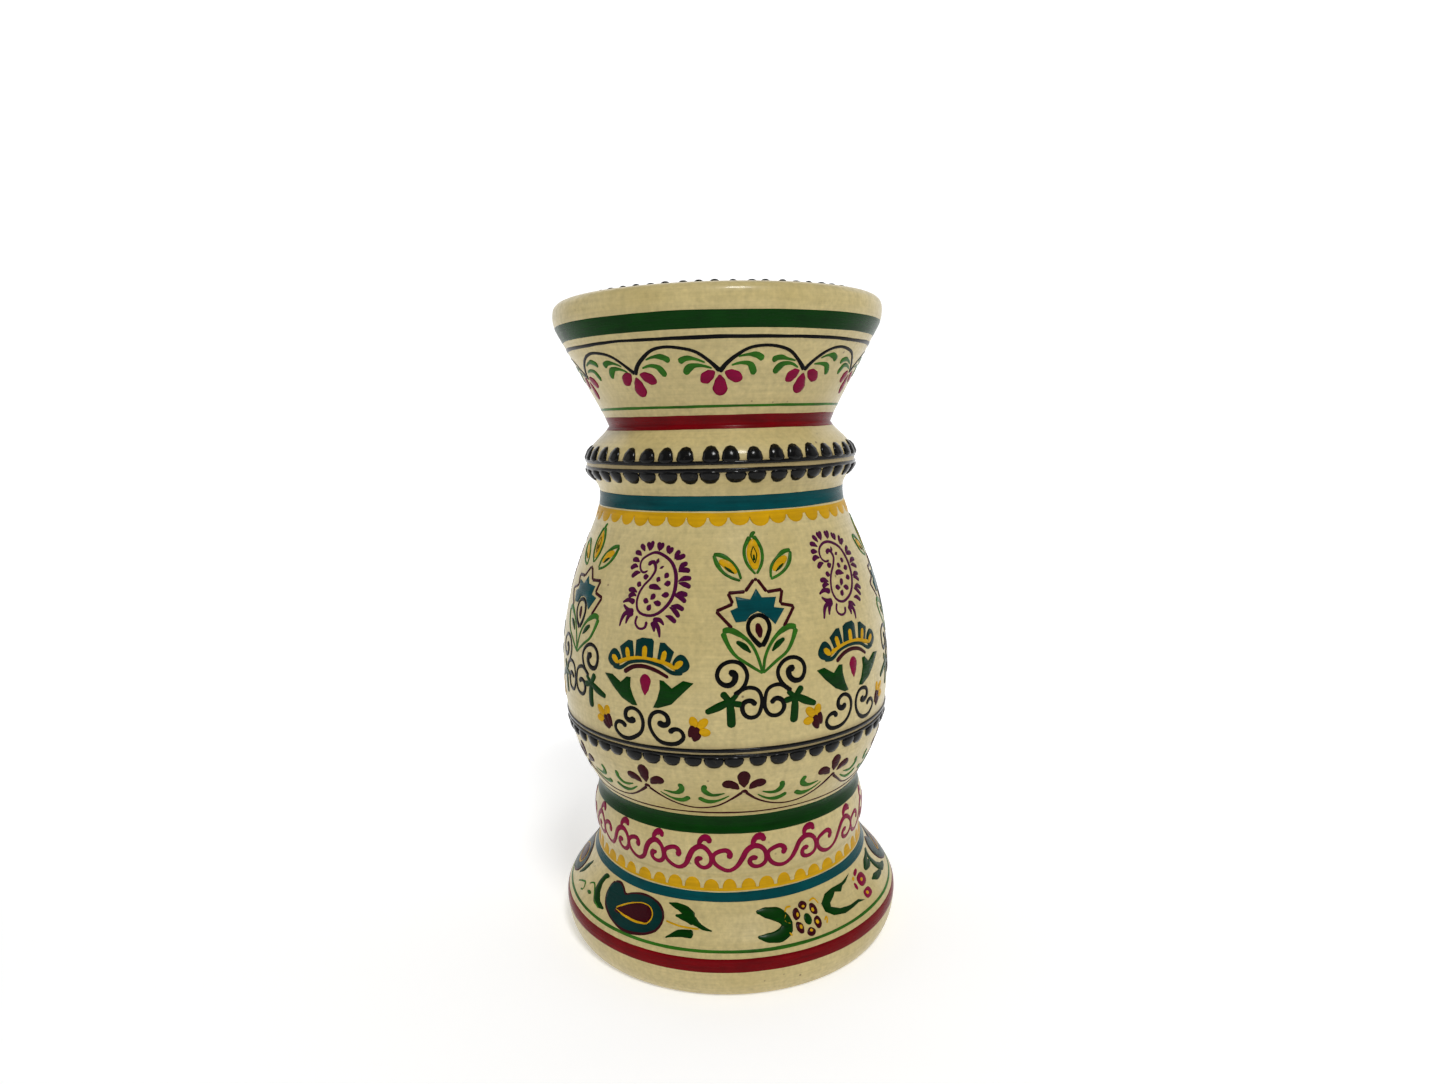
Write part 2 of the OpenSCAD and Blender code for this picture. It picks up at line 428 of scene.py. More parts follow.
def ease(value, low, high):
    """0 at low, 1 at high, eased between them; low may be the larger one."""
    node = value.tree.nodes.new("ShaderNodeMapRange")
    node.interpolation_type = "SMOOTHSTEP"
    value.tree.links.new(value.socket, node.inputs["Value"])
    node.inputs["From Min"].default_value = min(low, high)
    node.inputs["From Max"].default_value = max(low, high)
    node.inputs["To Min"].default_value = 0.0 if low < high else 1.0
    node.inputs["To Max"].default_value = 1.0 if low < high else 0.0
    return Flow(value.tree, node.outputs["Result"])


class Finish:
    """One material: a Principled shader and the nodes that feed it."""

    def __init__(self, name, **constants):
        self.material = bpy.data.materials.new(name)
        self.material.use_nodes = True
        self.tree = self.material.node_tree
        self.shader = self.tree.nodes["Principled BSDF"]
        for socket, value in constants.items():
            self.shader.inputs[socket.replace("_", " ")].default_value = value
        place = self.node("ShaderNodeTexCoord").outputs["Object"]
        self.place = Flow(self.tree, place)
        parts = self.node("ShaderNodeSeparateXYZ", Vector=self.place)
        self.x, self.y, self.z = (Flow(self.tree, parts.outputs[k]) for k in "XYZ")

    def node(self, kind, settings=None, **inputs):
        """Any other node: its kind, its settings, and the values or links of its inputs."""
        node = self.tree.nodes.new(kind)
        for key, value in (settings or {}).items():
            setattr(node, key, value)
        for key, value in inputs.items():
            socket = node.inputs[key.replace("_", " ")]
            if isinstance(value, Flow):
                self.tree.links.new(value.socket, socket)
            else:
                socket.default_value = value
        return node

    def out(self, node, name):
        return Flow(self.tree, node.outputs[name])

    def stretched(self, x, y, z):
        """Object coordinates scaled per axis, per metre."""
        node = self.node("ShaderNodeMapping", Vector=self.place)
        node.inputs["Scale"].default_value = (x, y, z)
        return self.out(node, "Vector")

    def noise(self, where, scale=1.0, detail=4.0, rough=0.55):
        node = self.node(
            "ShaderNodeTexNoise", Vector=where, Scale=scale, Detail=detail, Roughness=rough
        )
        return self.out(node, "Fac")

    def mix(self, share, a, b):
        """One colour over another by share; each is a link or a linear colour."""
        node = self.node("ShaderNodeMix", {"data_type": "RGBA", "clamp_result": False})
        for index, value in ((0, share), (6, a), (7, b)):
            if isinstance(value, Flow):
                self.tree.links.new(value.socket, node.inputs[index])
            elif index:
                node.inputs[index].default_value = (*value[:3], 1)
            else:
                node.inputs[index].default_value = value
        return Flow(self.tree, node.outputs[2])

    def feed(self, **inputs):
        """Links values to the inputs of the Principled shader."""
        for key, value in inputs.items():
            self.tree.links.new(value.socket, self.shader.inputs[key.replace("_", " ")])

    def bump(self, height, strength, distance_mm):
        node = self.node("ShaderNodeBump", Height=height)
        node.inputs["Strength"].default_value = strength
        node.inputs["Distance"].default_value = distance_mm * MM
        self.feed(Normal=self.out(node, "Normal"))


def shade(colour, share):
    """A linear colour made darker below 1 or lighter above it."""
    return tuple(min(c * share, 1) for c in colour[:3])


# ---------------------------------------------------------------- sizes and colours a user would change


def colour(name, description, value):
    return bpy.props.FloatVectorProperty(
        name=name, description=description, subtype="COLOR", size=3, min=0, max=1, default=value
    )


def length(name, description, value):
    return bpy.props.FloatProperty(
        name=name, description=description, subtype="DISTANCE", unit="LENGTH", default=value * MM
    )


class HolderColours(bpy.types.PropertyGroup):
    """Linear colours of the lacquer and the paints."""

    cream: colour("Cream", "Aged cream lacquer on the turnings", (0.53, 0.43, 0.192))
    green: colour("Green", "Bands and leaves", (0.001, 0.027, 0.001))
    red: colour("Red", "Bands at the neck and the foot", (0.14, 0.001, 0.003))
    teal: colour("Teal", "Bands, star and paisley fills", (0.001, 0.052, 0.058))
    deep: colour("Deep teal", "Lobes and arcs of the fans", (0.001, 0.024, 0.021))
    leaf: colour("Leaf", "Thinner green of outlines and sprigs", (0.022, 0.10, 0.008))
    gold: colour("Gold", "Scallops, dots and leaf fills", (0.56, 0.305, 0.004))
    magenta: colour("Magenta", "Petals and running scroll", (0.20, 0.002, 0.034))
    maroon: colour("Maroon", "Flowers, garlands and star outline", (0.035, 0.002, 0.005))
    purple: colour("Purple", "Paisley lines", (0.06, 0.003, 0.035))
    black: colour("Black", "Lines, scrolls and beads", (0.002, 0.002, 0.002))
    iron: colour("Iron", "Blackened liner", (0.035, 0.033, 0.032))
    felt: colour("Felt", "Pad under the foot", (0.02, 0.05, 0.02))
    dowel: colour("Dowel", "Raw wood of the dowels", (0.45, 0.27, 0.12))


class HolderSizes(bpy.types.PropertyGroup):
    """Heights of the paint and of the raised drops above the wood."""

    film: length("Film", "Height of a thin coat of paint", 0.07)
    line: length("Line", "Height of a painted line or petal", 0.2)
    beads: length("Beads", "Height of the raised drops", 1.0)
    rounding: length("Rounding", "Radius on the edges of the metal pieces", 0.35)


# ---------------------------------------------------------------- finishes


def lacquer(name, cream):
    """Aged cream lacquer: brush marks round the turning, grime and painted shade darkening each groove, with
    specks and stains.
    """
    f = Finish(name, Roughness=0.38, Specular_IOR_Level=0.25, Coat_Weight=0.3, Coat_Roughness=0.12)
    streaks = f.noise(f.stretched(22, 22, 900), detail=5)
    fine = f.noise(f.stretched(60, 60, 2600), detail=3)
    upright = f.noise(f.stretched(420, 420, 26), detail=4)
    clouds = f.noise(f.stretched(26, 26, 30), detail=4)
    # Grime and painted shade: a mask near the groove at the top of the foot and the one at the top of the
    # belly.
    groove_grime_and_shade = None
    for node, width in (("foot", 3.0), ("belly", 2.2)):
        line = box_mm(node)[2] * MM
        near = ease(abs(f.z - line), width * MM, 0.0)
        groove_grime_and_shade = near if groove_grime_and_shade is None else groove_grime_and_shade.most(near)
    grit = f.noise(f.place, scale=700.0, detail=4)
    brushed = (streaks - 0.5) * 0.6 + (fine - 0.5) * 0.4
    worn = (brushed + (upright - 0.5) * 0.6 + (grit - 0.5) * 1.1 + 0.5).clamped()
    base = f.mix(worn, shade(cream, 0.74), shade(cream, 1.24))
    base = f.mix(ease(clouds, 0.42, 0.72) * 0.35, base, (cream[0] * 0.80, cream[1] * 0.76, cream[2] * 0.55))
    # Mixes dark brown into each groove: grime and painted shade.
    base = f.mix(groove_grime_and_shade * 0.55, base, (0.17, 0.11, 0.04))
    # Patchy darker brown along both sides of the raised black lines.
    for node in ("collar_line_upper", "collar_line_lower", "belly_line_upper", "belly_line_lower"):
        near = ease(abs(f.z - middle(node) * MM), 3.2 * MM, 0.4 * MM)
        base = f.mix(near * (0.15 + clouds * 0.4), base, (0.20, 0.13, 0.05))
    grains = f.node("ShaderNodeTexVoronoi", Vector=f.place, Scale=260.0)
    speck = ease(f.out(grains, "Distance"), 0.16, 0.06)
    rare = ease(f.noise(f.place, scale=90.0, detail=2), 0.60, 0.66)
    base = f.mix(speck * rare * 0.75, base, (0.10, 0.055, 0.02))
    f.feed(Base_Color=base, Roughness=(0.30 + (1 - worn) * 0.22 + groove_grime_and_shade * 0.2))
    f.bump(streaks * 0.5 + fine * 0.4 + upright * 0.8, 0.4, 0.14)
    return f.material


def enamel(name, paint, rough=0.26, thin=0.75, thick=1.25, coat=0.5):
    """Hand-brushed gloss paint: thinner and thicker along the brush marks."""
    f = Finish(name, Roughness=rough, Specular_IOR_Level=0.05, Coat_Weight=coat * 0.08, Coat_Roughness=0.08)
    marks = f.noise(f.stretched(45, 45, 1100), detail=4)
    pools = f.noise(f.place, scale=170.0, detail=3)
    cover = ((marks - 0.5) * 1.1 + (pools - 0.5) * 0.9 + 0.5).clamped()
    f.feed(
        Base_Color=f.mix(cover, shade(paint, thin), shade(paint, thick)),
        Roughness=rough - 0.06 + (1 - cover) * 0.16,
    )
    f.bump(marks * 0.6 + pools * 0.6, 0.3, 0.08)
    return f.material


def thick_black(name, black):
    """Thick glossy black drops with a little dust in the hollows."""
    f = Finish(name, Roughness=0.16, Specular_IOR_Level=0.14, Coat_Weight=0.1, Coat_Roughness=0.05)
    lumps = f.noise(f.place, scale=420.0, detail=3)
    dust = ease(f.noise(f.place, scale=900.0, detail=2), 0.60, 0.75)
    f.feed(
        Base_Color=f.mix(dust * 0.25, black, (0.05, 0.042, 0.03)),
        Roughness=0.12 + lumps * 0.12 + dust * 0.2,
    )
    f.bump(lumps, 0.35, 0.15)
    return f.material


def blackened_iron(name, iron):
    """Blackened sheet iron with faint forge mottling and a few rubbed places."""
    f = Finish(name, Metallic=0.85, Roughness=0.45, IOR=1.6)
    mottle = f.noise(f.place, scale=130.0, detail=6)
    rubbed = ease(f.noise(f.place, scale=40.0, detail=5), 0.55, 0.75)
    f.feed(
        Base_Color=f.mix(rubbed * 0.25, shade(iron, 0.8), shade(iron, 2.2)),
        Roughness=0.36 + mottle * 0.24,
    )
    f.bump(mottle, 0.25, 0.12)
    return f.material


def zinc_steel(name):
    """Zinc-plated screw steel."""
    f = Finish(name, Metallic=1.0, Roughness=0.3)
    scratches = f.noise(f.stretched(300, 1800, 300), detail=3)
    f.feed(
        Base_Color=f.mix(scratches, (0.40, 0.40, 0.38), (0.62, 0.61, 0.58)),
        Roughness=0.22 + scratches * 0.25,
    )
    f.bump(scratches, 0.2, 0.04)
    return f.material


def felt_cloth(name, felt):
    """Pressed wool felt: short fibres in every direction."""
    f = Finish(name, Roughness=0.95, Sheen_Weight=0.15, Sheen_Roughness=0.6)
    fibres = f.noise(f.stretched(900, 3000, 900), detail=4).most(
        f.noise(f.stretched(3000, 900, 900), detail=4)
    )
    f.feed(Base_Color=f.mix(fibres, shade(felt, 0.5), shade(felt, 1.9)))
    f.bump(fibres, 0.8, 0.3)
    return f.material


def raw_wood(name, wood):
    """Raw dowel wood with grain along the dowel."""
    f = Finish(name, Roughness=0.7)
    grain = f.noise(f.stretched(500, 500, 18), detail=5)
    f.feed(
        Base_Color=f.mix(grain, shade(wood, 0.6), shade(wood, 1.25)),
        Roughness=0.6 + grain * 0.2,
    )
    f.bump(grain, 0.4, 0.2)
    return f.material


def finishes():
    """Every material of the holder by name, made once."""
    colours = bpy.context.scene.holder_colours

    def made(name, maker, *values, **settings):
        return bpy.data.materials.get(name) or maker(name, *values, **settings)

    return {
        "cream": made("cream_lacquer", lacquer, colours.cream),
        "green": made("green_enamel", enamel, colours.green, thin=0.55, thick=1.7),
        "red": made("red_enamel", enamel, colours.red, thin=0.6, thick=1.5),
        "teal": made("teal_enamel", enamel, colours.teal, thin=0.6, thick=1.4),
        "deep": made("deep_teal_enamel", enamel, colours.deep, thin=0.6, thick=1.5),
        "leaf": made("leaf_enamel", enamel, colours.leaf, thin=0.35, thick=1.9),
        "gold": made("gold_enamel", enamel, colours.gold, rough=0.34, thin=0.7, thick=1.2, coat=0.3),
        "magenta": made("magenta_enamel", enamel, colours.magenta, thin=0.6, thick=1.35),
        "maroon": made("maroon_enamel", enamel, colours.maroon),
        "purple": made("purple_enamel", enamel, colours.purple),
        "black": made("black_enamel", enamel, colours.black, rough=0.24),
        "beads": made("thick_black_paint", thick_black, colours.black),
        "iron": made("blackened_iron", blackened_iron, colours.iron),
        "steel": made("zinc_steel", zinc_steel),
        "felt": made("felt_cloth", felt_cloth, colours.felt),
        "dowel": made("dowel_wood", raw_wood, colours.dowel),
    }


SLOTS = {
    "green": "green_paint",
    "red": "red_paint",
    "teal": "teal_paint",
    "deep": "teal_paint",
    "leaf": "green_paint",
    "gold": "gold_paint",
    "magenta": "magenta_paint",
    "maroon": "maroon_paint",
    "purple": "maroon_paint",
    "black": "black_paint",
    "beads": "raised_black_paint",
}


def coats(zone, *names, sides=8):
    """One coat of each named paint for a zone of the holder."""
    paints = finishes()
    line = bpy.context.scene.holder_sizes.line / MM
    return [Coat(f"{zone}_{name}", paints[name], SLOTS[name], line, sides) for name in names]


# ---------------------------------------------------------------- the pieces


class HOLDER_OT_turnings(bpy.types.Operator):
    """Spin the three lacquered turnings from the CAD outline"""

    bl_idname = "holder.turnings"
    bl_label = "Turnings"

    def execute(self, context):
        cream = finishes()["cream"]
        felt_r, _, felt_top = box_mm("felt_pad")
        dowel_r, low_start, low_end = box_mm("lower_dowel")
        _, up_start, up_end = box_mm("upper_dowel")
        flange_r, liner_bottom, top = box_mm("candle_liner")
        seams = [box_mm(node)[1:] for node in TURNINGS]
        foot, belly, cup = ([(p.x, p.y) for p in stretch] for stretch in surface.stretches)
        play, relief = 0.1, 1
        step_z = top - liner_thickness()
        pad_r, hole, sill = felt_r + play, dowel_r + play, flange_r + play
        well = flange_r - liner_flange() + play
        sections = (
            [(0, felt_top), (pad_r, felt_top), (pad_r, seams[0][0]), *foot,
             (hole, seams[0][1]), (hole, low_start - relief), (0, low_start - relief)],
            [(0, low_end + relief), (hole, low_end + relief), (hole, seams[1][0]), *belly,
             (hole, seams[1][1]), (hole, up_start - relief), (0, up_start - relief)],
            [(0, up_end + relief), (hole, up_end + relief), (hole, seams[2][0]), *cup,
             (sill, top), (sill, step_z), (well, step_z), (well, liner_bottom), (0, liner_bottom)],
        )
        for node, section in zip(TURNINGS, sections):
            piece(f"turned_{node}", spun(section), cream, (node,))
        return {"FINISHED"}


def liner_flange():
    """Width of the liner's flange, from the CAD node's own corners, in millimetres."""
    outer, low, _ = box_mm("candle_liner")
    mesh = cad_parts["candle_liner"].data
    wall = max(math.hypot(v.co.x, v.co.y) / MM for v in mesh.vertices if v.co.z / MM < low + 0.01)
    return outer - wall


def liner_thickness():
    """Thickness of the liner's iron, from the screw head's top and the liner's underside."""
    return box_mm("liner_screw")[2] - box_mm("candle_liner")[1]


class HOLDER_OT_fittings(bpy.types.Operator):
    """Make the iron liner, its screw, the felt pad and the dowels"""

    bl_idname = "holder.fittings"
    bl_label = "Fittings"

    def execute(self, context):
        paints = finishes()
        rounding = context.scene.holder_sizes.rounding
        flange_r, bottom, top = box_mm("candle_liner")
        wall = liner_thickness()
        outer = flange_r - liner_flange()
        inner, floor = outer - wall, bottom + wall
        head_r, tip, _ = box_mm("liner_screw")
        self.liner(paints["iron"], rounding, (flange_r, outer, inner), (bottom, floor, top), head_r)
        self.screw(paints["steel"], head_r, tip, floor)
        felt_r, felt_low, felt_high = box_mm("felt_pad")
        soft, cut = 0.4, 1.0
        pad = spun([(0, felt_low), (felt_r - soft, felt_low), (felt_r - soft * 0.3, felt_low + soft * 0.3),
                    (felt_r, felt_low + soft), (felt_r, felt_high), (0, felt_high)])
        piece("felt_disc", pad, paints["felt"], ("felt_pad",))
        for node in ("lower_dowel", "upper_dowel"):
            radius, low, high = box_mm(node)
            rod = spun([(0, low), (radius - cut, low), (radius, low + cut), (radius, high - cut),
                        (radius - cut, high), (0, high)], 48)
            piece(f"chamfered_{node}", rod, paints["dowel"], (node,))
        return {"FINISHED"}

    def liner(self, iron, rounding, radii, heights, head_r):
        """The iron cup with a flange, softened along every edge."""
        (flange_r, outer, inner), (bottom, floor, top) = radii, heights
        throat, under_flange = head_r * 0.5, top - (floor - bottom)
        shell = spun(
            [(throat, bottom), (outer, bottom), (outer, under_flange), (flange_r, under_flange),
             (flange_r, top), (inner, top), (inner, floor), (head_r, floor), (throat, bottom)], 128)
        sharp = [e for e in shell.edges if e.calc_face_angle(0) > 0.5 and e.verts[0].co.z == e.verts[1].co.z]
        bmesh.ops.bevel(shell, geom=sharp, offset=rounding, offset_type="OFFSET", affect="EDGES",
                        segments=3, profile=0.5, material=-1)
        piece("iron_liner", shell, iron, ("candle_liner",), crease=0.9)

    def cross_recess(self, body, top, half, reach, depth):
        """Cuts the flat top along the sides of a cross and sinks what lies inside it."""
        for axis in (0, 1):
            for cut in (-reach, -half, half, reach):
                faces = top_faces(body, top)
                around = dict.fromkeys(part for face in faces for part in (*face.verts, *face.edges))
                cut_across(body, faces + list(around), axis, cut * MM, 1e-7)
        cross = []
        for face in top_faces(body, top):
            near, far = sorted(abs(k) / MM for k in face.calc_center_median()[:2])
            if near < half and far < reach:
                cross.append(face)
        sunk = bmesh.ops.extrude_face_region(body, geom=cross)["geom"]
        bmesh.ops.translate(
            body,
            vec=(0, 0, -depth * MM),
            verts=[part for part in sunk if isinstance(part, bmesh.types.BMVert)],
        )

    def screw(self, steel, head_r, tip, floor):
        """A countersunk wood screw with a cross recess and a tapering thread."""
        shank = head_r * 0.5
        neck = floor - (head_r - shank)
        threads = 7
        pitch = (neck - tip - 1.2) / threads
        flank = [(shank * (0.72 if k % 2 else 1.0), neck - 0.4 - pitch * k / 2) for k in range(2 * threads)]
        head = [(0, floor), (head_r * 0.94, floor), (head_r, floor - 0.15), (shank, neck)]
        body = spun([*head, *flank, (0, tip)], 32)
        self.cross_recess(body, floor, head_r * 0.12, head_r * 0.6, 1.2)
        piece("countersunk_screw", body, steel, ("liner_screw",), crease=0.5)


def top_faces(bm, height):
    """The faces that lie at a height in millimetres."""
    return [f for f in bm.faces if all(abs(v.co.z - height * MM) < 1e-6 for v in f.verts)]


def middle(node):
    """Height of the middle of a CAD node, in millimetres."""
    _, low, high = box_mm(node)
    return (low + high) / 2


class HOLDER_OT_beading(bpy.types.Operator):
    """Lay the raised black lines, the rows of drops and the dots on the rim"""

    bl_idname = "holder.beading"
    bl_label = "Beading"

    collar_count: bpy.props.IntProperty(
        name="Collar drops", description="Drops in each row on the collar", default=42)
    belly_count: bpy.props.IntProperty(name="Belly drops", description="Drops round the belly", default=53)
    rim_count: bpy.props.IntProperty(name="Rim dots", description="Dots on the top face", default=60)

    def execute(self, context):
        paint = finishes()["beads"]
        lift = context.scene.holder_sizes.beads / MM
        # The drops, their line, how many, their width, above or below the line, angle of the first
        rows = (
            ("collar_beads_upper", "collar_line_upper", self.collar_count, 5.9, 1, -29.9),
            ("collar_beads_lower", "collar_line_lower", self.collar_count, 6.6, -1, -29.3),
            ("belly_beads", "belly_line_lower", self.belly_count, 6.5, -1, -31.6),
        )
        for node, line, count, width, side, start in rows:
            coat = Coat(f"black_{node}", paint, "raised_black_paint", lift)
            dice = random.Random(count + side)
            for k in range(count):
                turn = start + k * 360 / count + dice.gauss(0, 0.45)
                tall = (3.8 if node == "collar_beads_upper" else 3.0) * dice.uniform(0.9, 1.08)
                above, below = (tall, 1.2) if side > 0 else (1.2, tall)
                row = middle(line) + side * (1.1 + dice.uniform(-0.1, 0.1))
                broad = width * dice.uniform(0.9, 1.06)
                coat.drop(turn, row, broad, above, below, lift * dice.uniform(0.85, 1))
            coat.finish(node)
        for node in ("collar_line_upper", "collar_line_lower", "belly_line_upper", "belly_line_lower"):
            coat = Coat(f"black_{node}", paint, "raised_black_paint", lift * 0.45)
            coat.band(middle(node), 1.25, wander=0.22, sides=8)
            coat.finish(node)
        self.rim(paint, lift)
        return {"FINISHED"}

    def rim(self, paint, lift):
        """Dots on the flat top, each a flattened ball sunk by half."""
        outer, bottom, _ = box_mm("rim_dots")
        dice = random.Random(5)
        bm = bmesh.new()
        width = 3.0  # as wide as the CAD dots
        for k in range(self.rim_count):
            turn = (k * 360 / self.rim_count + dice.gauss(0, 0.5)) * DEGREE
            out = outer - width / 2 + dice.gauss(0, 0.15)
            dot = bmesh.ops.create_uvsphere(bm, u_segments=10, v_segments=6, radius=1)["verts"]
            size = width / 2 * dice.uniform(0.85, 1.08)
            bmesh.ops.scale(bm, vec=Vector((size, size, lift * dice.uniform(0.8, 0.98))) * MM, verts=dot)
            place = Vector((out * math.sin(turn), -out * math.cos(turn), bottom)) * MM
            bmesh.ops.translate(bm, vec=place, verts=dot)
        piece("black_rim_dots", bm, paint, ("rim_dots",), crease=math.pi)


class HOLDER_OT_bands(bpy.types.Operator):
    """Paint the plain bands, the thin lines and the gold scallops and dots"""

    bl_idname = "holder.bands"
    bl_label = "Bands"

    scallops: bpy.props.IntProperty(
        name="Scallops", description="Gold scallops under the teal band", default=42)
    dots: bpy.props.IntProperty(name="Dots", description="Gold domes over the lower teal band", default=50)

    def execute(self, context):
        film = context.scene.holder_sizes.film / MM
        names = ("green", "leaf", "red", "teal", "gold", "black", "maroon")
        green, leaf, red, teal, gold, black, maroon = coats("bands", *names)
        neck, groove = box_mm("belly")[2], box_mm("foot")[2]
        # Each band: height of its middle, width and thickness
        green.band(neck + 29.1, 4.7, film)
        leaf.band(neck + 5.4, 0.8, film)
        green.band(groove - 0.6, 6.4, film)
        leaf.band(groove - 40.0, 0.8, film)
        red.band(neck + 0.8, 4.2, film)
        red.band(groove - 44.2, 4.6, film)
        teal.band(neck - 23.5, 4.6, film)
        teal.band(groove - 26.1, 3.0, film)
        black.band(neck + 24.4, 1.0, film * 2, wander=0.35, sides=8)
        maroon.band(groove + 4.2, 0.6, film * 1.5, wander=0.3, sides=8)
        gold.band(neck - 27.0, 1.5, film)
        gold.band(groove - 23.8, 0.9, film, sides=8)
        dice = random.Random(11)
        for k in range(self.scallops):
            turn = -27.6 + k * 360 / self.scallops + dice.gauss(0, 0.35)
            gold.drop(turn, neck - 27.6, 6.4 * dice.uniform(0.9, 1.05), 1.0, 2.9 * dice.uniform(0.9, 1.08),
                      film * 1.8, sides=12, rings=8)
        for k in range(self.dots):
            turn = 21.4 + k * 360 / self.dots + dice.gauss(0, 0.4)
            gold.drop(turn, groove - 23.3, 5.5 * dice.uniform(0.88, 1.06), 3.3 * dice.uniform(0.9, 1.08), 0.9,
                      film * 1.8, sides=12, rings=8)
        for coat in (green, leaf, red, teal, gold, black, maroon):
            coat.finish()
        return {"FINISHED"}


def all_round(front, more):
    """The given angles and a number of others, evenly spaced over the rest of the way round."""
    rest = 360 - front[-1] + front[0]
    return front + [front[-1] + rest * k / (more + 1) for k in range(1, more + 1)]


# ---------------------------------------------------------------- cup


class HOLDER_OT_swags(bpy.types.Operator):
    """Paint the swags, hanging petals and sprigs round the cup"""

    bl_idname = "holder.swags"
    bl_label = "Swags"

    def execute(self, context):
        black, magenta, green = coats("cup", "black", "magenta", "leaf")
        turns = all_round([-68, -33.3, 0.5, 34.3, 68.5], 6)
        for here, there in zip(turns, turns[1:] + [turns[0] + 360]):
            self.swag(black, green, Spot(here, stretch=((there - here) % 360) / 34))
            self.petals(magenta, Spot(here))
        for coat in (black, magenta, green):
            coat.finish()
        return {"FINISHED"}

    def swag(self, black, green, at):
        """One arch, with a pair of sprigs rising from each of its ends."""
        black.stroke(
            at((0, 199.6), (2.2, 201.9), (6, 204.2), (10, 205.8), (15, 206.6), (20, 206.4), (26, 205.0),
               (30, 202.8), (34, 199.9)), (1.5, 1.15, 0.9, 0.85, 0.9, 1.0, 1.4))
        green.stroke(at((6.6, 203.4), (10, 204.2), (13.6, 204.0), (16, 202.8)), (0.5, 0.8, 1.7, 1.9))
        green.stroke(at((4, 201.3), (8, 201.9), (11, 201.5), (12.4, 199.9), (13.2, 198.6)),
                     (0.5, 0.8, 1.2, 2.1, 2.0))
        green.stroke(at((29, 202.2), (25.5, 203.2), (22, 203.4), (19.2, 202.5)), (0.5, 0.8, 1.5, 1.9))
        green.stroke(at((31, 200.5), (27, 201.6), (23.6, 201.4), (21.8, 200.0), (21, 198.9)),
                     (0.5, 0.8, 1.2, 2.2, 2.0))

    def petals(self, magenta, at):
        """Three petals hanging where two arches meet."""
        magenta.stroke(at((0.1, 199.0), (0.0, 196.2), (-0.2, 193.1)), (1.0, 3.4, 4.7, 4.2), 0.24)
        magenta.stroke(at((-1.8, 199.7), (-4.4, 198.6), (-7.4, 196.9)), (1.0, 3.0, 3.4, 1.6), 0.24)
        magenta.stroke(at((1.9, 199.6), (5.4, 198.5), (8.6, 197.4)), (1.0, 3.0, 3.3, 1.8), 0.24)


# ---------------------------------------------------------------- belly


# Angles of the motifs, a little uneven as hand painting is
LOTUS_TURNS = (-58.7, 11.2, 81.0, 153.0, 227.0)
FAN_TURNS = (-25.5, 44.8, 116.0, 190.0, 264.0)


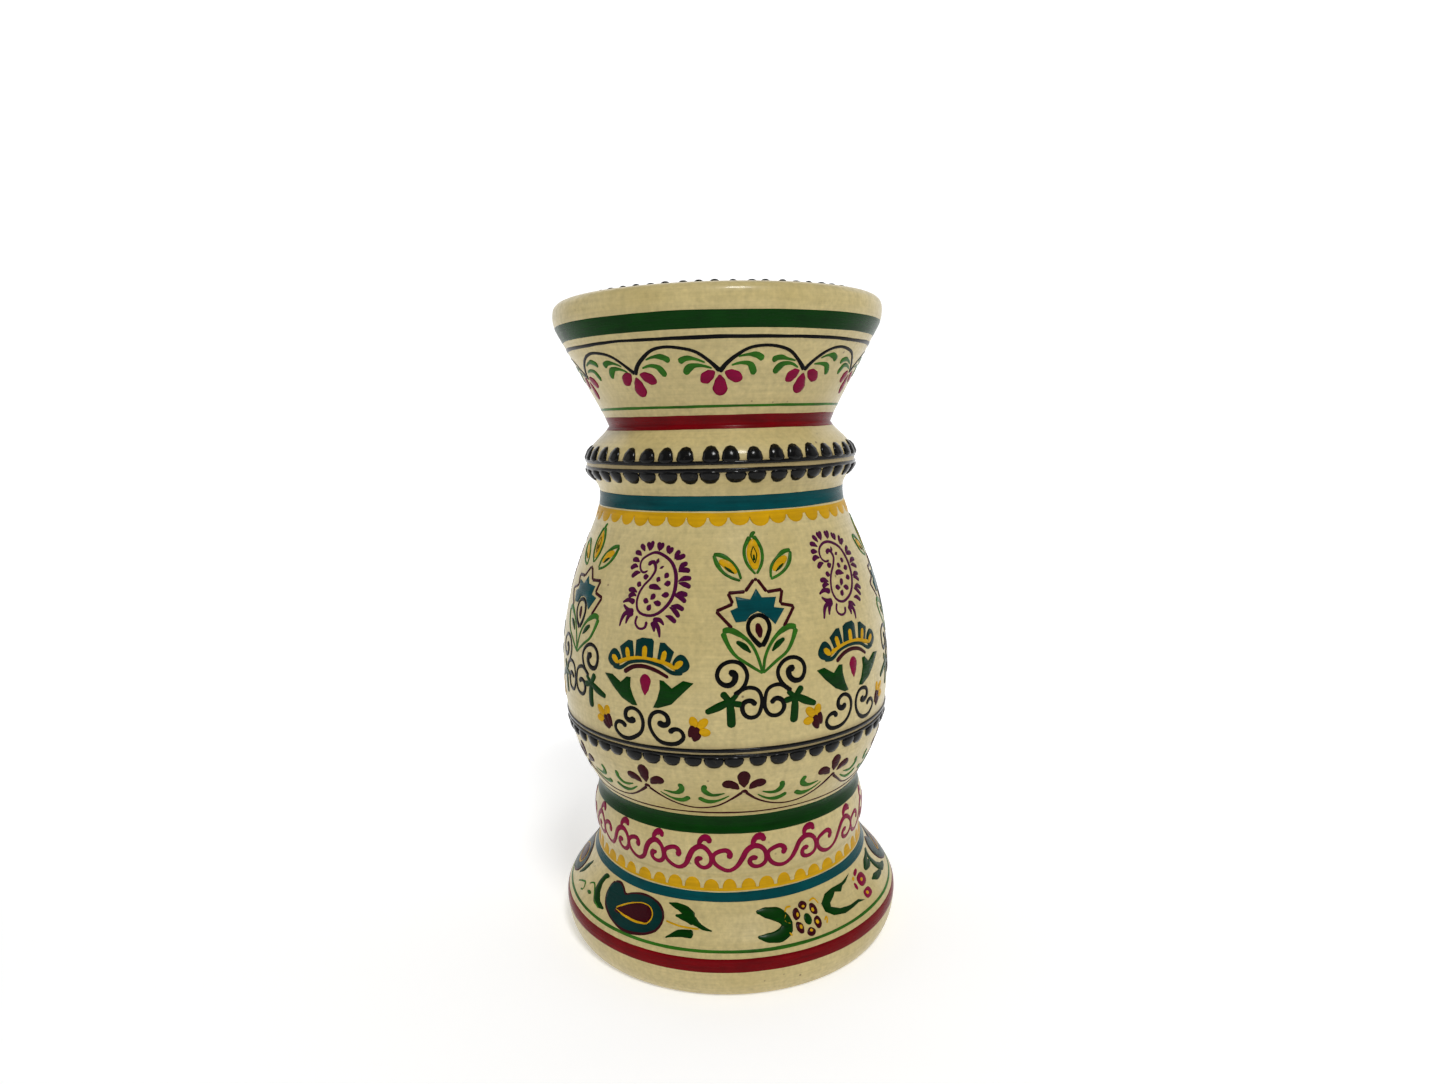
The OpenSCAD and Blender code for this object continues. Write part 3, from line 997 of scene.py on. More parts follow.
class HOLDER_OT_lotus(bpy.types.Operator):
    """Paint the lotus motifs of the belly: buds, star, drop, leaves, scrolls and crosses"""

    bl_idname = "holder.lotus"
    bl_label = "Lotus motifs"

    def execute(self, context):
        names = ("green", "leaf", "gold", "maroon", "teal", "black")
        kit = dict(zip(names, coats("lotus", *names)))
        for number, turn in enumerate(LOTUS_TURNS):
            at = Spot(turn, rise=(0.0, -1.2, -0.4, 0.3, -0.7)[number], seed=number)
            self.bud(kit, at)
            self.star(kit, at)
            self.heart(kit, at)
            for half in (at, at.mirrored()):
                self.side(kit, half)
        for coat in kit.values():
            coat.finish()
        return {"FINISHED"}

    def bud(self, kit, at):
        """The upright bud on top of the star."""
        kit["gold"].fill(
            at((0.3, 142.6), (2.3, 145.2), (2.2, 148.4), (0.4, 151.3), (-1.8, 149.2), (-2.2, 145.4)),
            smooth=True)
        for side in (-1, 1):
            kit["leaf"].stroke(
                at((0.3, 141.2), (side * 2.9, 144.6), (side * 3.1, 148.6), (0.6 * side, 152.2)),
                (0.7, 1.0, 1.1, 1.5), 0.3)
            kit["green"].stroke(at((0.2, 144.2), (side * 1.1, 146.6), (0.2, 149.4)), (0.4, 0.5, 0.4), 0.34)
        kit["leaf"].stroke(at((0, 151.6), (0.7, 152.9), (1.6, 153.4)), (1.4, 1.3, 0.8), 0.3)
        kit["green"].stroke(at((0.1, 145.2), (0.1, 147.0)), (1.0, 0.8), 0.36)

    def star(self, kit, at):
        """Teal star under a zigzag outline of maroon."""
        kit["teal"].fill(
            at((-0.4, 136.9), (1.3, 134.3), (6.3, 134.3), (5.1, 131.4), (8.7, 130.6), (5.0, 126.3),
               (3.4, 127.8),
               (1.7, 129.5), (-0.5, 130.3), (-2.7, 129.5), (-4.6, 127.6), (-7.6, 127.4), (-9.4, 130.8),
               (-6.8, 131.9), (-7.4, 134.8), (-2.7, 134.0)))
        zigzag = at((7.7, 125.3), (12.1, 131.1), (7.4, 132.3), (8.8, 136.3), (3.2, 135.9), (0.6, 139.5),
                    (-0.9, 139.7), (-3.9, 136.4), (-9.8, 136.1), (-8.2, 132.9), (-14.0, 131.0), (-8.8, 126.0))
        for here, there in zip(zigzag, zigzag[1:]):
            kit["maroon"].stroke([here, there], (1.1, 1.0, 1.1))

    def heart(self, kit, at):
        """The drop at the star's heart: a black outline round a dark core."""
        kit["black"].stroke(
            at((0.1, 119.9), (-2.2, 122.2), (-3.8, 125.2), (-3.2, 127.9), (-0.7, 129.2), (1.9, 128.5),
               (3.1, 126.0), (2.3, 123.2), (0.2, 120.0)), (1.6, 1.3, 1.3, 1.4, 1.6))
        kit["maroon"].stroke(at((-0.6, 126.9), (-0.5, 125.0), (0.0, 122.6)), (1.5, 2.3, 1.0))

    def side(self, kit, at):
        """Half of what flanks the star: gold leaf, lower leaf, two scrolls and a cross."""
        gold, green, leaf, black = kit["gold"], kit["green"], kit["leaf"], kit["black"]
        gold.stroke(at((6.5, 141.8), (9.4, 144.0), (12.8, 145.5)), (1.4, 2.9, 1.6))
        leaf.stroke(at((5.2, 139.7), (5.9, 142.8), (9.0, 145.7), (12.0, 147.1), (14.8, 147.4)),
                    (0.8, 0.9, 0.9, 1.4, 1.1), 0.26)
        leaf.stroke(at((5.2, 139.6), (8.2, 140.4), (11.4, 142.2), (13.6, 144.7), (14.7, 147.2)),
                    (0.8, 0.9, 1.0, 1.4, 1.1), 0.26)
        green.stroke(at((7.4, 141.6), (9.2, 142.7), (11.0, 143.7)), (0.4, 1.0, 0.5), 0.3)
        leaf.stroke(
            at((0.1, 111.8), (1.1, 117.0), (3.3, 121.0), (6.8, 124.0), (10.2, 125.2), (11.9, 124.7)),
            (0.8, 1.0, 1.0, 1.2, 1.9, 1.8))
        leaf.stroke(at((0.1, 111.8), (4.5, 115.2), (8.3, 117.9), (10.5, 121.0), (11.9, 124.6)),
                    (0.8, 1.0, 1.0, 1.3, 1.8))
        green.stroke(at((3.3, 118.3), (5.4, 120.4), (7.7, 121.8)), (0.7, 1.9, 1.2), 0.26)
        black.stroke(
            at((8.7, 105.4), (5.7, 108.6), (4.7, 112.0), (6.7, 115.0), (10.4, 115.8), (13.2, 114.0),
               (13.7, 111.0), (12.0, 108.7), (9.8, 108.8), (8.4, 110.4), (8.7, 112.2), (10.4, 112.3)),
            (1.5, 1.3, 1.3, 1.3, 1.4, 1.8, 2.3), 0.26)
        black.stroke(
            at((9.0, 105.5), (4.7, 107.8), (1.6, 106.8), (0.6, 104.0), (0.7, 100.7), (2.3, 98.4), (4.8, 98.4),
               (6.4, 100.4), (5.9, 102.8), (3.8, 103.5), (2.4, 102.0)),
            (1.5, 1.3, 1.2, 1.3, 1.4, 1.6, 1.7), 0.26)
        for path, widths in (
            (((10.3, 104.0), (9.9, 99.6), (9.8, 94.9)), (2.0, 2.7, 2.8)),
            (((9.6, 103.9), (13.4, 101.8), (17.6, 100.0)), (2.0, 2.6, 1.8)),
            (((10.6, 103.2), (6.3, 102.4)), (1.9, 2.1)),
            (((10.8, 102.6), (7.6, 105.8)), (1.8, 1.6)),
            (((9.8, 102.8), (12.5, 106.6)), (1.9, 2.3)),
        ):
            green.stroke(at(*path), widths, 0.24)


class HOLDER_OT_fans(bpy.types.Operator):
    """Paint the paisleys, fan flowers, leaves, scrolls and tulips of the belly"""

    bl_idname = "holder.fans"
    bl_label = "Fans and paisleys"

    def execute(self, context):
        names = ("deep", "gold", "maroon", "purple", "magenta", "green", "black")
        kit = dict(zip(names, coats("fan", *names)))
        for number, turn in enumerate(FAN_TURNS):
            at = Spot(turn, rise=(-1.0, 0.0, -0.4, 0.3, -0.2)[number], seed=number + 20)
            self.paisley(kit["purple"], at)
            self.fan(kit, at)
            for half in (at, at.mirrored()):
                self.side(kit, half)
                self.tulip(kit, half)
        for coat in kit.values():
            coat.finish()
        return {"FINISHED"}

    def paisley(self, purple, at):
        """A curled drop with a flower inside and a fringe of small commas."""
        purple.stroke(
            at((-2.6, 143.6), (-0.6, 144.5), (0.9, 142.6), (-0.4, 140.2), (-2.9, 137.6), (-4.6, 134.9),
               (-4.9, 132.2), (-3.7, 129.9), (-1.0, 128.7), (2.3, 129.0), (5.6, 131.2), (8.1, 134.6),
               (9.1, 138.5), (8.5, 142.1), (6.5, 144.9), (3.3, 146.7), (-0.3, 147.3), (-3.5, 146.5),
               (-5.8, 144.7), (-5.8, 142.7), (-4.2, 141.6), (-2.2, 141.9)),
            (1.4, 0.8, 0.8, 0.9, 1.1, 1.3, 1.0, 0.8, 0.7))
        for path in (
            ((0.4, 144.9), (1.7, 144.6)), ((2.9, 143.6), (3.4, 142.6)), ((5.9, 141.6), (4.8, 140.2)),
            ((1.6, 140.2), (3.2, 139.1)), ((7.3, 138.8), (4.7, 138.2)),
            ((-0.9, 137.2), (1.0, 137.5), (3.9, 136.8)),
            ((6.9, 135.5), (4.2, 135.2)), ((-3.9, 139.9), (-1.5, 140.5)), ((-6.0, 138.1), (-3.8, 137.3)),
            ((-2.5, 133.5), (-0.2, 132.8)), ((2.0, 135.4), (0.3, 133.4)), ((4.4, 132.3), (1.6, 132.9)),
            ((-0.5, 130.4), (0.6, 132.2)),
        ):
            purple.stroke(at(*path), (1.4, 1.8, 0.6))
        for head, tail in (
            ((-9.5, 147.0), (-6.0, 146.2)), ((-10.0, 144.8), (-6.5, 144.4)), ((-10.0, 142.2), (-6.5, 142.8)),
            ((-8.8, 139.8), (-5.2, 141.2)), ((-7.6, 149.4), (-4.9, 147.4)), ((-9.2, 135.9), (-5.2, 135.3)),
            ((-8.6, 133.9), (-5.4, 134.6)), ((-4.6, 150.3), (-2.9, 147.7)), ((-2.2, 150.8), (-2.7, 147.9)),
            ((0.2, 150.5), (1.3, 148.0)), ((2.7, 150.5), (1.6, 148.1)), ((4.4, 149.8), (4.9, 147.2)),
            ((6.9, 148.9), (5.4, 147.2)), ((9.6, 148.3), (7.8, 145.6)), ((11.6, 146.8), (8.2, 145.2)),
            ((12.9, 144.4), (9.4, 142.5)), ((14.0, 142.2), (9.6, 142.1)), ((14.6, 140.2), (9.9, 139.2)),
            ((14.4, 137.6), (9.9, 138.7)), ((13.6, 135.4), (9.0, 135.4)), ((12.9, 133.2), (9.0, 135.1)),
            ((12.4, 131.0), (7.9, 132.0)), ((11.0, 129.0), (7.4, 131.6)), ((9.9, 127.3), (6.0, 129.2)),
        ):
            bend = ((head[0] + tail[0]) / 2, (head[1] + tail[1]) / 2 + 0.5)
            purple.stroke(at(head, bend, tail), (1.4, 1.6, 0.5))
        for path in (
            ((-5.6, 129.6), (-8.4, 130.0), (-10.2, 131.4)), ((-5.6, 132.2), (-8.4, 133.0), (-10.6, 132.0)),
            ((-5.6, 129.5), (-9.0, 128.6), (-10.6, 124.6)), ((-5.8, 129.3), (-7.4, 128.0), (-8.3, 125.6)),
            ((2.0, 127.4), (4.2, 127.7), (6.0, 126.2)), ((2.0, 127.2), (4.0, 125.8), (4.8, 122.4)),
            ((1.6, 127.2), (2.4, 125.6), (2.6, 124.0)),
        ):
            purple.stroke(at(*path), (2.0, 1.4, 0.7))
        purple.stroke(at((-3.8, 128.6), (-4.5, 126.3), (-2.8, 124.8), (-0.6, 125.3), (-0.3, 127.0)),
                      (0.9, 0.8, 0.8, 1.1))

    def fan(self, kit, at):
        """Five dark lobes with gold bars, over two arcs and a drop."""
        teal, gold = kit["deep"], kit["gold"]
        teal.fill(at((-3.6, 115.8), (-3.4, 121.2), (-1.4, 122.1), (2.2, 122.0), (2.9, 121.2), (2.6, 115.8)))
        gold.stroke(at((-0.3, 115.2), (-0.2, 120.1)), (2.3, 2.5, 2.3), 0.28)
        for side in (-1, 1):
            teal.fill(at((side * 4.0, 115.5), (side * 4.9, 120.9), (side * 6.6, 121.0), (side * 9.7, 118.6),
                         (side * 8.3, 114.9)))
            gold.stroke(at((side * 5.8, 114.6), (side * 7.0, 119.0)), (2.0, 2.4, 2.1), 0.28)
            teal.fill(at((side * 9.2, 113.4), (side * 10.0, 116.6), (side * 11.8, 117.7), (side * 14.1, 116.2),
                         (side * 14.6, 113.9), (side * 12.2, 112.0)), smooth=True)
            gold.stroke(at((side * 9.4, 112.9), (side * 11.0, 114.3), (side * 12.8, 115.7)),
                        (1.6, 2.7, 2.5), 0.28)
        gold.stroke(at((-10.0, 113.5), (-8.0, 114.4), (-4.2, 115.6), (0.0, 116.0), (4.2, 115.6), (8.0, 114.4),
                       (10.0, 113.5)), (1.6, 1.4, 1.3, 1.4, 1.6), 0.3)
        teal.stroke(at((-12.4, 112.2), (-9.8, 112.0), (-5.4, 114.1), (0.0, 115.0), (5.4, 114.1), (9.8, 112.0),
                       (12.6, 112.2)), (1.5, 1.2, 1.2, 1.2, 1.5), 0.24)
        kit["maroon"].stroke(at((-7.7, 110.6), (-4.3, 112.7), (-0.4, 113.4), (3.9, 112.6), (7.8, 110.3)),
                             (1.6, 1.4, 1.3, 1.1))
        kit["magenta"].stroke(at((0.2, 111.0), (0.2, 107.6), (0.1, 103.9)), (2.9, 4.0, 2.8, 0.5), 0.3)

    def side(self, kit, at):
        """Half of what stands under the fan: a spiky leaf and a double scroll."""
        kit["green"].fill(
            at((15.8, 109.2), (12.6, 109.6), (9.0, 107.4), (6.6, 109.4), (5.0, 109.5), (5.2, 106.6),
               (4.2, 103.4), (2.7, 100.6), (4.6, 100.4), (8.6, 102.2), (12.4, 105.6)), lift=0.22)
        kit["black"].stroke(
            at((4.0, 96.3), (5.3, 95.1), (7.2, 95.7), (7.3, 98.0), (5.2, 99.4), (2.7, 98.6), (1.2, 95.8),
               (1.9, 92.0), (4.3, 89.5), (7.4, 88.7), (10.7, 89.5), (12.1, 91.6), (10.9, 93.7), (8.7, 93.7),
               (7.8, 92.5)), (2.4, 1.7, 1.3, 1.4, 1.3, 1.5, 1.5, 1.3, 1.9), 0.26)

    def tulip(self, kit, at):
        """A small gold tulip with a dark heart, between two motifs."""
        for path in (((16.8, 94.6), (19.8, 97.8)), ((16.0, 94.8), (15.0, 98.6)), ((17.0, 93.5), (20.7, 93.3))):
            kit["gold"].stroke(at(*path), (1.9, 2.9, 2.0))
        for path in (((16.8, 95.2), (14.8, 90.8)), ((17.4, 93.0), (15.0, 90.2)), ((15.2, 95.8), (13.9, 91.4))):
            kit["maroon"].stroke(at(*path), (1.9, 2.2, 1.2), 0.28)


class HOLDER_OT_garland(bpy.types.Operator):
    """Paint the flowers, swags and sprigs on the lower belly"""

    bl_idname = "holder.garland"
    bl_label = "Garland"

    def execute(self, context):
        maroon, green = coats("garland", "maroon", "leaf")
        turns = all_round([-63.5, -29.2, 5.2, 39.5, 74.0], 6)
        for here, there in zip(turns, turns[1:] + [turns[0] + 360]):
            at = Spot(here)
            self.flower(maroon, at)
            reach = Spot(here, stretch=((there - here) % 360) / 34.5)
            maroon.stroke(
                reach((0.6, 70.1), (4.2, 67.3), (9.5, 64.7), (17.2, 63.4), (25, 64.7), (30.3, 67.3),
                      (33.9, 70.1)),
                (1.1, 0.7, 0.6, 0.6, 0.7, 1.1))
            for half in (at, at.mirrored()):
                green.stroke(half((12.6, 73.4), (13.4, 71.2), (11.6, 69.4), (6.2, 69.9)), (1.8, 2.0, 1.2, 0.5))
                green.stroke(half((15.6, 67.9), (12.8, 66.4), (9.4, 66.6), (4.8, 69.0)), (1.7, 1.8, 0.9, 0.5))
        for coat in (maroon, green):
            coat.finish()
        return {"FINISHED"}

    def flower(self, maroon, at):
        """Three petals standing on a short calyx."""
        maroon.stroke(at((0.0, 72.0), (-0.1, 75.4), (-0.2, 78.6)), (0.8, 3.4, 4.3, 3.4), 0.24)
        for side in (-1, 1):
            petal = at((1.7 * side, 71.4), (4.4 * side, 73.5), (7.4 * side, 73.4))
            maroon.stroke(petal, (0.9, 2.8, 3.3, 2.4), 0.24)
        maroon.stroke(at((-1.0, 70.0), (0.1, 70.7), (1.2, 69.9)), (0.9, 1.5, 0.9))


# ---------------------------------------------------------------- waist and foot


class HOLDER_OT_scroll(bpy.types.Operator):
    """Paint the running scroll round the waist"""

    bl_idname = "holder.scroll"
    bl_label = "Running scroll"

    def execute(self, context):
        (magenta,) = coats("waist", "magenta")
        turns = all_round([-64.5, -46.2, -28.6, -9.6, 11.0, 32.5, 55.5], 11)
        for before, here in zip([turns[-1] - 360] + turns, turns):
            at = Spot(here, stretch=((here - before) % 360) / 21.0, seed=3)
            magenta.stroke(
                at((-12.4, 45.1), (-11.2, 46.2), (-12.0, 47.6), (-15.2, 47.5), (-17.6, 46.0), (-17.4, 43.9),
                   (-15.2, 41.6), (-11.6, 40.5), (-8.6, 42.0), (-6.6, 45.0), (-4.4, 48.0), (-1.4, 49.1),
                   (1.4, 48.0), (2.8, 45.4), (2.0, 42.6), (-0.4, 41.4), (-3.0, 42.2), (-3.6, 43.9),
                   (-2.2, 44.8), (-1.2, 44.0)),
                (2.2, 1.6, 1.5, 1.6, 1.6, 2.0, 1.9, 1.6, 1.6, 1.6, 2.1))
            magenta.stroke(at((-2.4, 49.1), (-2.1, 50.7), (-0.2, 52.0), (1.8, 51.3), (1.4, 50.3)),
                           (1.4, 1.9, 2.4, 2.1))
        magenta.finish()
        return {"FINISHED"}


class HOLDER_OT_foot_flowers(bpy.types.Operator):
    """Paint the paisleys, flowers and leaves on the slope of the foot"""

    bl_idname = "holder.foot_flowers"
    bl_label = "Foot flowers"

    def execute(self, context):
        names = ("deep", "maroon", "gold", "green", "leaf", "magenta")
        self.kit = dict(zip(names, coats("foot", *names)))
        sequence = (
            (self.paisley, 0.0), (self.trefoil, 21.0), (self.hooked_leaf, 52.6), (self.rosette, 64.4),
            (self.open_leaf, 80.0), (self.cluster, 94.4), (self.sprig, 105.0),
        )
        first = -38.0
        for start in (first, first + 131):
            for motif, turn in sequence:
                motif(Spot(start + turn, wander=0.07))
        behind = (
            (self.hooked_leaf, 210.0), (self.rosette, 222.0), (self.open_leaf, 237.0), (self.paisley, 268.0),
        )
        for motif, turn in behind:
            motif(Spot(turn, wander=0.07))
        self.tendril(Spot(first - 27, wander=0.07))
        for coat in self.kit.values():
            coat.finish()
        return {"FINISHED"}

    def paisley(self, at):
        """A teal paisley round a dark drop, with a green crescent behind it."""
        outline = ((-12.5, 27.8), (-9.5, 28.4), (-7.0, 27.6), (-5.0, 26.4), (-2.0, 27.3), (3.0, 28.0),
                   (8.0, 27.8), (11.5, 26.5), (13.6, 23.8), (12.9, 21.1), (10.0, 19.3), (5.0, 18.2),
                   (0.0, 17.9), (-5.0, 18.8),
                   (-9.0, 20.2), (-12.4, 22.1), (-14.0, 24.6), (-13.7, 26.9))
        self.kit["deep"].fill(at(*outline), smooth=True)
        self.kit["maroon"].stroke(at(*outline, outline[0]), (0.9, 0.8, 1.0, 0.8, 0.9), 0.24)
        drop = ((-6.3, 21.9), (-3.0, 23.7), (1.0, 25.3), (5.0, 25.9), (8.4, 25.2), (9.6, 23.5), (8.8, 21.7),
                (6.0, 21.0), (0.0, 21.2))
        self.kit["maroon"].fill(at(*drop), lift=0.26, smooth=True)
        self.kit["gold"].stroke(at(*drop, drop[0]), (0.8, 0.6, 0.7, 0.9, 0.7), 0.34)
        self.kit["green"].stroke(
            at((-17.0, 28.0), (-19.6, 27.0), (-20.3, 24.6), (-18.8, 21.9), (-15.2, 20.4), (-11.4, 19.9)),
            (0.8, 2.6, 3.4, 2.9, 1.6, 0.6))

    def trefoil(self, at):
        """Four green blades and a gold hair beside a paisley."""
        green = self.kit["green"]
        for path, widths in (
            (((-6.6, 28.0), (-2.0, 27.3), (4.0, 25.2)), (0.4, 1.8, 2.6, 1.8)),
            (((-3.2, 24.9), (0.6, 24.8), (4.4, 24.0)), (0.6, 1.9, 2.6)),
            (((-4.8, 19.2), (-1.0, 20.7), (4.4, 20.9)), (0.5, 1.9, 2.2)),
            (((3.0, 24.8), (7.0, 22.8), (10.5, 22.0)), (2.4, 1.2, 0.4)),
        ):
            green.stroke(at(*path), widths)
        self.kit["gold"].stroke(at((-6.0, 23.2), (-1.0, 22.6), (6.0, 22.3)), (0.45, 0.5, 0.45))

    def hooked_leaf(self, at):
        """A thick leaf bent like a hook."""
        self.kit["green"].stroke(
            at((-6.0, 26.4), (-1.0, 25.7), (3.2, 24.3), (4.4, 22.2), (2.2, 20.3), (-2.4, 19.8), (-6.2, 20.2)),
            (0.9, 3.0, 3.9, 3.9, 3.4, 2.5, 0.8))

    def rosette(self, at):
        """Six dark petals with gold hearts round a green centre, in gold tendrils."""
        self.kit["green"].drop(at.degrees + 0.2, 22.2, 2.9, 1.5, 1.5, 0.22, sides=12, rings=8)
        for k in range(6):
            turn, middle_z = math.radians(90 + 60 * k), 22.4
            across, up = 4.0 * math.cos(turn), 3.6 * math.sin(turn)
            petal = ((across * 0.62, middle_z + up * 0.62), (across * 1.36, middle_z + up * 1.3))
            heart = ((across * 0.72, middle_z + up * 0.72), (across * 1.08, middle_z + up * 1.04))
            self.kit["maroon"].stroke(at(*petal), (2.4, 3.4, 3.2), 0.24)
            self.kit["gold"].stroke(at(*heart), (1.0, 1.5, 1.2), 0.36)
        for path in (
            ((-7.4, 25.2), (-6.6, 26.2), (-4.6, 26.4)), ((-7.0, 24.6), (-8.0, 23.3), (-6.4, 22.2)),
            ((3.0, 26.3), (5.2, 26.6), (6.4, 25.0)), ((6.2, 20.4), (7.2, 21.2), (6.4, 19.6)),
            ((-7.6, 20.2), (-6.6, 19.2)),
        ):
            self.kit["gold"].stroke(at(*path), (0.5, 0.6, 0.5))

    def open_leaf(self, at):
        """A leaf folded back on itself, with a wavy inner edge."""
        self.kit["green"].fill(
            at((10.6, 27.9), (5.0, 27.1), (-1.0, 27.3), (-5.2, 26.6), (-8.2, 24.6), (-8.0, 22.4), (-5.2, 20.6),
               (-0.6, 19.7), (4.4, 20.0), (7.4, 20.2), (11.0, 19.6), (8.0, 21.0), (3.0, 21.0), (-1.6, 21.6),
               (-4.8, 23.0), (-4.6, 24.0), (-2.0, 24.9), (-0.4, 25.8), (2.4, 25.2), (4.4, 26.2), (7.0, 26.6)))

    def cluster(self, at):
        """Pink buds with gold hearts."""
        for path, widths, heart in (
            (((-1.6, 24.0), (4.8, 24.6)), (2.8, 3.4, 2.6), ((0.2, 24.2), (2.2, 24.4))),
            (((-2.4, 20.6), (3.0, 20.7)), (2.2, 2.5, 2.0), ((-1.2, 20.8), (0.6, 20.8))),
            (((-4.4, 24.0), (-2.8, 23.7)), (2.1, 2.0), None),
            (((-1.4, 26.3), (2.4, 27.3)), (1.0, 1.3, 0.9), None),
        ):
            self.kit["magenta"].stroke(at(*path), widths, 0.24)
            if heart:
                self.kit["gold"].stroke(at(*heart), (1.0, 1.2, 0.9), 0.36)
        self.kit["gold"].stroke(at((-3.6, 25.6), (-1.8, 26.1)), (0.8, 1.0, 0.7), 0.26)

    def sprig(self, at):
        """Thin green blades between two runs of motifs."""
        for path, widths in (
            (((-3.6, 25.2), (2.0, 26.4), (8.4, 27.9)), (1.2, 2.4, 1.4, 0.4)),
            (((-2.8, 25.0), (3.0, 25.2), (6.0, 25.9)), (1.0, 1.7, 0.4)),
            (((-3.6, 21.9), (2.0, 21.0), (8.0, 20.4)), (0.5, 2.1, 1.6, 0.4)),
        ):
            self.kit["green"].stroke(at(*path), widths)

    def tendril(self, at):
        """Fine curls and one blade at the end of the first run."""
        for path in (
            ((-8.0, 19.6), (-5.0, 21.0), (-2.4, 21.4), (-1.2, 19.8), (-3.0, 19.4)),
            ((0.4, 22.4), (3.0, 23.5), (6.0, 22.2), (9.0, 20.2), (13.0, 19.4)),
        ):
            self.kit["leaf"].stroke(at(*path), (0.5, 0.6, 0.5))
        self.kit["leaf"].stroke(at((2.0, 20.7), (5.0, 20.8)), (0.5, 1.1, 0.5))
        self.kit["green"].stroke(at((-12.5, 20.5), (-10.0, 23.5), (-7.5, 27.0)), (0.8, 2.6, 1.0))


# ---------------------------------------------------------------- camera, light and stage


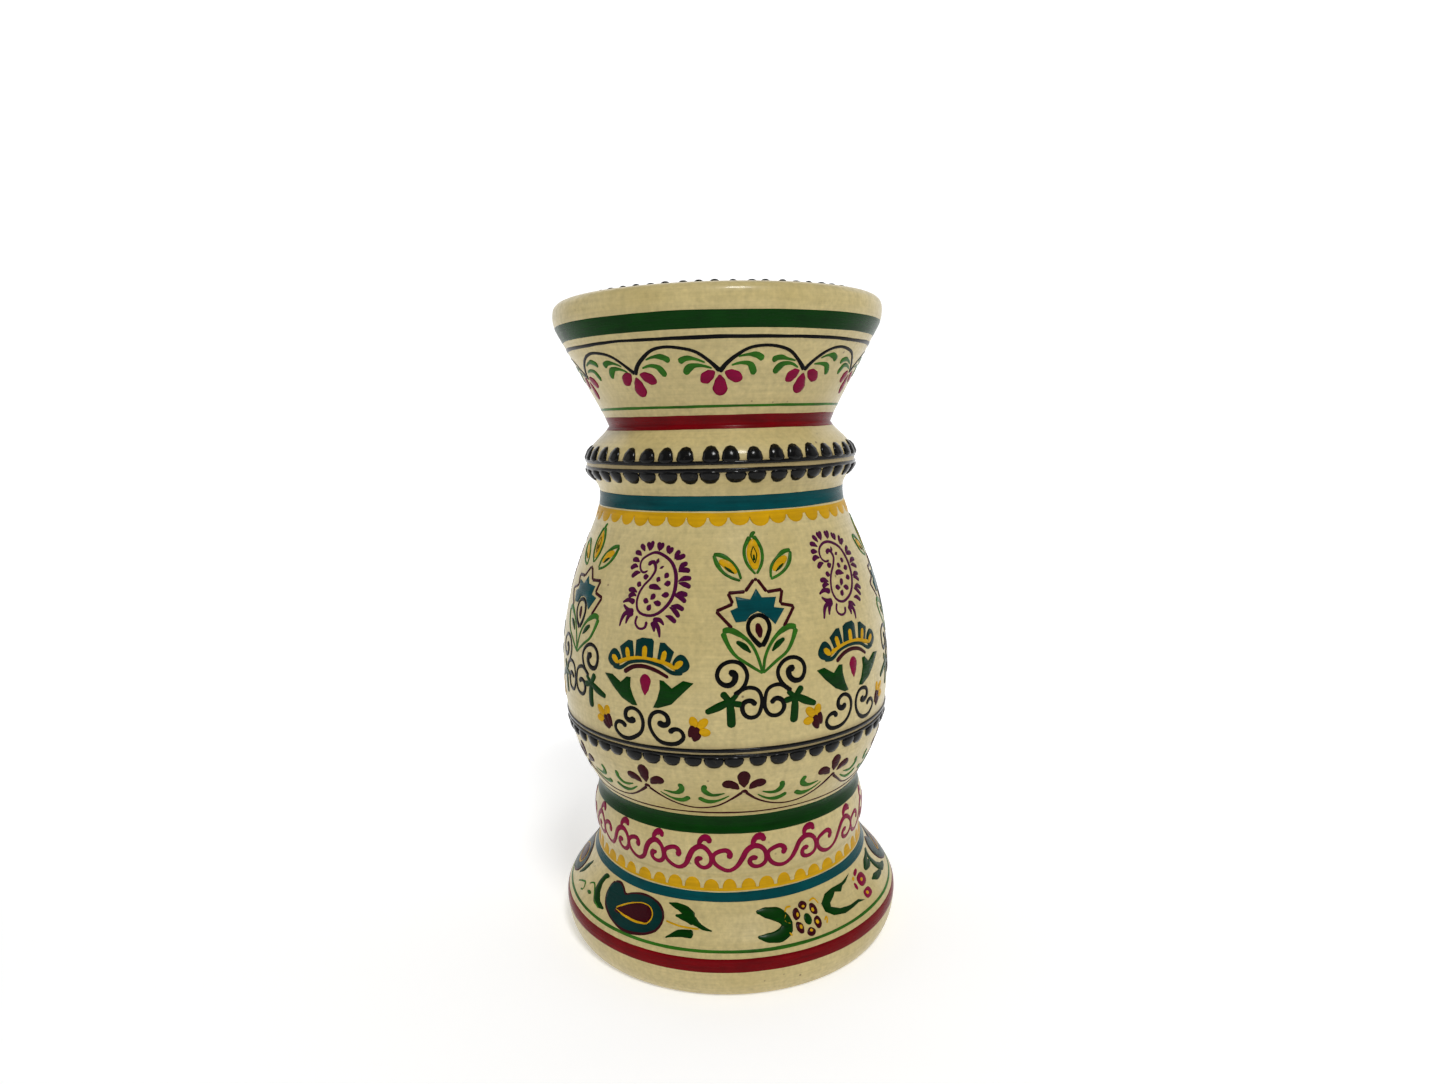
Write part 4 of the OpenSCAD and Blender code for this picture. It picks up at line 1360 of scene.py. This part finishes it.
class HOLDER_OT_stage(bpy.types.Operator):
    """Set up the pale round studio, the soft light and the camera"""

    bl_idname = "holder.stage"
    bl_label = "Stage"

    lens: bpy.props.FloatProperty(
        name="Lens", description="Focal length", subtype="DISTANCE_CAMERA", default=21.96)
    pitch: bpy.props.FloatProperty(
        name="Pitch", description="How far the camera looks down", subtype="ANGLE",
        default=math.radians(14.51))

    def execute(self, context):
        scene = context.scene
        scene.view_settings.view_transform = "Standard"
        data = bpy.data.cameras.new("view")
        data.sensor_width, data.lens, data.shift_y = 36, self.lens, 0.0698
        camera = bpy.data.objects.new("camera", data)
        camera.location = (0, -0.3156, 0.1874)
        yaw, roll = math.radians(-0.163), math.radians(-1.427)
        level = Vector((math.sin(yaw), math.cos(yaw), 0)) * math.cos(self.pitch)
        aim = level - Vector((0, 0, math.sin(self.pitch)))
        turned = aim.to_track_quat("-Z", "Y") @ Quaternion((0, 0, 1), roll)
        camera.rotation_euler = turned.to_euler()
        data.clip_start = 0.01
        scene.collection.objects.link(camera)
        scene.camera = camera
        self.studio()
        self.light("overhead_front", (0.25, -0.75, 1.2), 0.3, 8.2)
        self.light("left_window", (-1.0, -0.15, 0.55), 0.8, 1.0)
        self.light("right_window", (1.0, -0.1, 0.6), 0.8, 0.7)
        self.sky()
        return {"FINISHED"}

    def studio(self):
        """A pale floor, open under the foot, that curves up into a round wall; both glow as painted light, dim
        in front and bright behind.
        """
        floor_r, cove, wall_top = 1100, 500, 1500
        arc = [
            (floor_r + cove * math.sin(math.radians(a)), cove - cove * math.cos(math.radians(a)))
            for a in range(0, 91, 10)
        ]
        under = box_mm("felt_pad")[0] + 3
        flat = [(under, 0), *[(floor_r * k / 8, 0) for k in range(1, 8)]]
        bm = spun([*flat, *arc, (floor_r + cove, wall_top)], 96)
        bmesh.ops.recalc_face_normals(bm, faces=bm.faces)
        bmesh.ops.reverse_faces(bm, faces=bm.faces)
        for face in bm.faces:
            face.smooth = True
        mesh = bpy.data.meshes.new("studio")
        bm.to_mesh(mesh)
        bm.free()
        # Painted light: the floor and wall glow, dimmer in front of the holder and brighter behind it, and
        # light it like lamps.
        pale = Finish("pale_backdrop", Roughness=0.95, Specular_IOR_Level=0.0, Emission_Strength=1.0)
        wall = ease(pale.z, 0.0, 0.3)
        behind = ease(pale.y, 0.45, 1.05)
        floor_glow = pale.mix(ease(pale.y, -0.05, 0.35), (0.30, 0.30, 0.30), (0.6, 0.6, 0.6))
        glow = pale.mix(behind, (0.24, 0.24, 0.24), (1.1, 1.1, 1.1))
        pale.feed(
            Base_Color=pale.mix(wall, (0.90, 0.90, 0.90), (0.05, 0.05, 0.05)),
            Emission_Color=pale.mix(wall, floor_glow, glow),
        )
        mesh.materials.append(pale.material)
        studio = bpy.data.objects.new("studio", mesh)
        bpy.context.scene.collection.objects.link(studio)

    def light(self, name, place, size, power):
        """A round lamp that faces the middle of the holder."""
        data = bpy.data.lights.new(name, "AREA")
        data.shape, data.size, data.energy = "DISK", size, power
        lamp = bpy.data.objects.new(name, data)
        lamp.location = place
        aim = Vector((0, 0, 0.1)) - lamp.location
        lamp.rotation_euler = aim.to_track_quat("-Z", "Y").to_euler()
        bpy.context.scene.collection.objects.link(lamp)

    def sky(self):
        """Even pale light from every side."""
        world = bpy.data.worlds.new("soft_sky")
        world.use_nodes = True
        world.node_tree.nodes["Background"].inputs["Color"].default_value = (1, 1, 1, 1)
        world.node_tree.nodes["Background"].inputs["Strength"].default_value = 0.3
        bpy.context.scene.world = world


class HOLDER_PT_panel(bpy.types.Panel):
    """Lists the colours, sizes and steps of the candle holder"""

    bl_idname = "HOLDER_PT_panel"
    bl_label = "Candle Holder"
    bl_space_type = "VIEW_3D"
    bl_region_type = "UI"
    bl_category = "Candle Holder"

    def draw(self, context):
        for group in (context.scene.holder_sizes, context.scene.holder_colours):
            for name in group.bl_rna.properties.keys():
                if name not in ("rna_type", "name"):
                    self.layout.prop(group, name)
        for step in STEPS:
            self.layout.operator(step.bl_idname)


STEPS = (
    HOLDER_OT_stage,
    HOLDER_OT_turnings,
    HOLDER_OT_fittings,
    HOLDER_OT_beading,
    HOLDER_OT_bands,
    HOLDER_OT_swags,
    HOLDER_OT_lotus,
    HOLDER_OT_fans,
    HOLDER_OT_garland,
    HOLDER_OT_scroll,
    HOLDER_OT_foot_flowers,
)
GROUPS = (HolderColours, HolderSizes)


def register():
    for made in GROUPS + STEPS + (HOLDER_PT_panel,):
        bpy.utils.register_class(made)
    bpy.types.Scene.holder_colours = bpy.props.PointerProperty(type=HolderColours)
    bpy.types.Scene.holder_sizes = bpy.props.PointerProperty(type=HolderSizes)


def unregister():
    del bpy.types.Scene.holder_sizes
    del bpy.types.Scene.holder_colours
    for made in reversed(GROUPS + STEPS + (HOLDER_PT_panel,)):
        bpy.utils.unregister_class(made)


def main():
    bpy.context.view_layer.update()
    register()
    for step in STEPS:
        group, name = step.bl_idname.split(".")
        getattr(getattr(bpy.ops, group), name)()


if __name__ == "__main__":
    main()
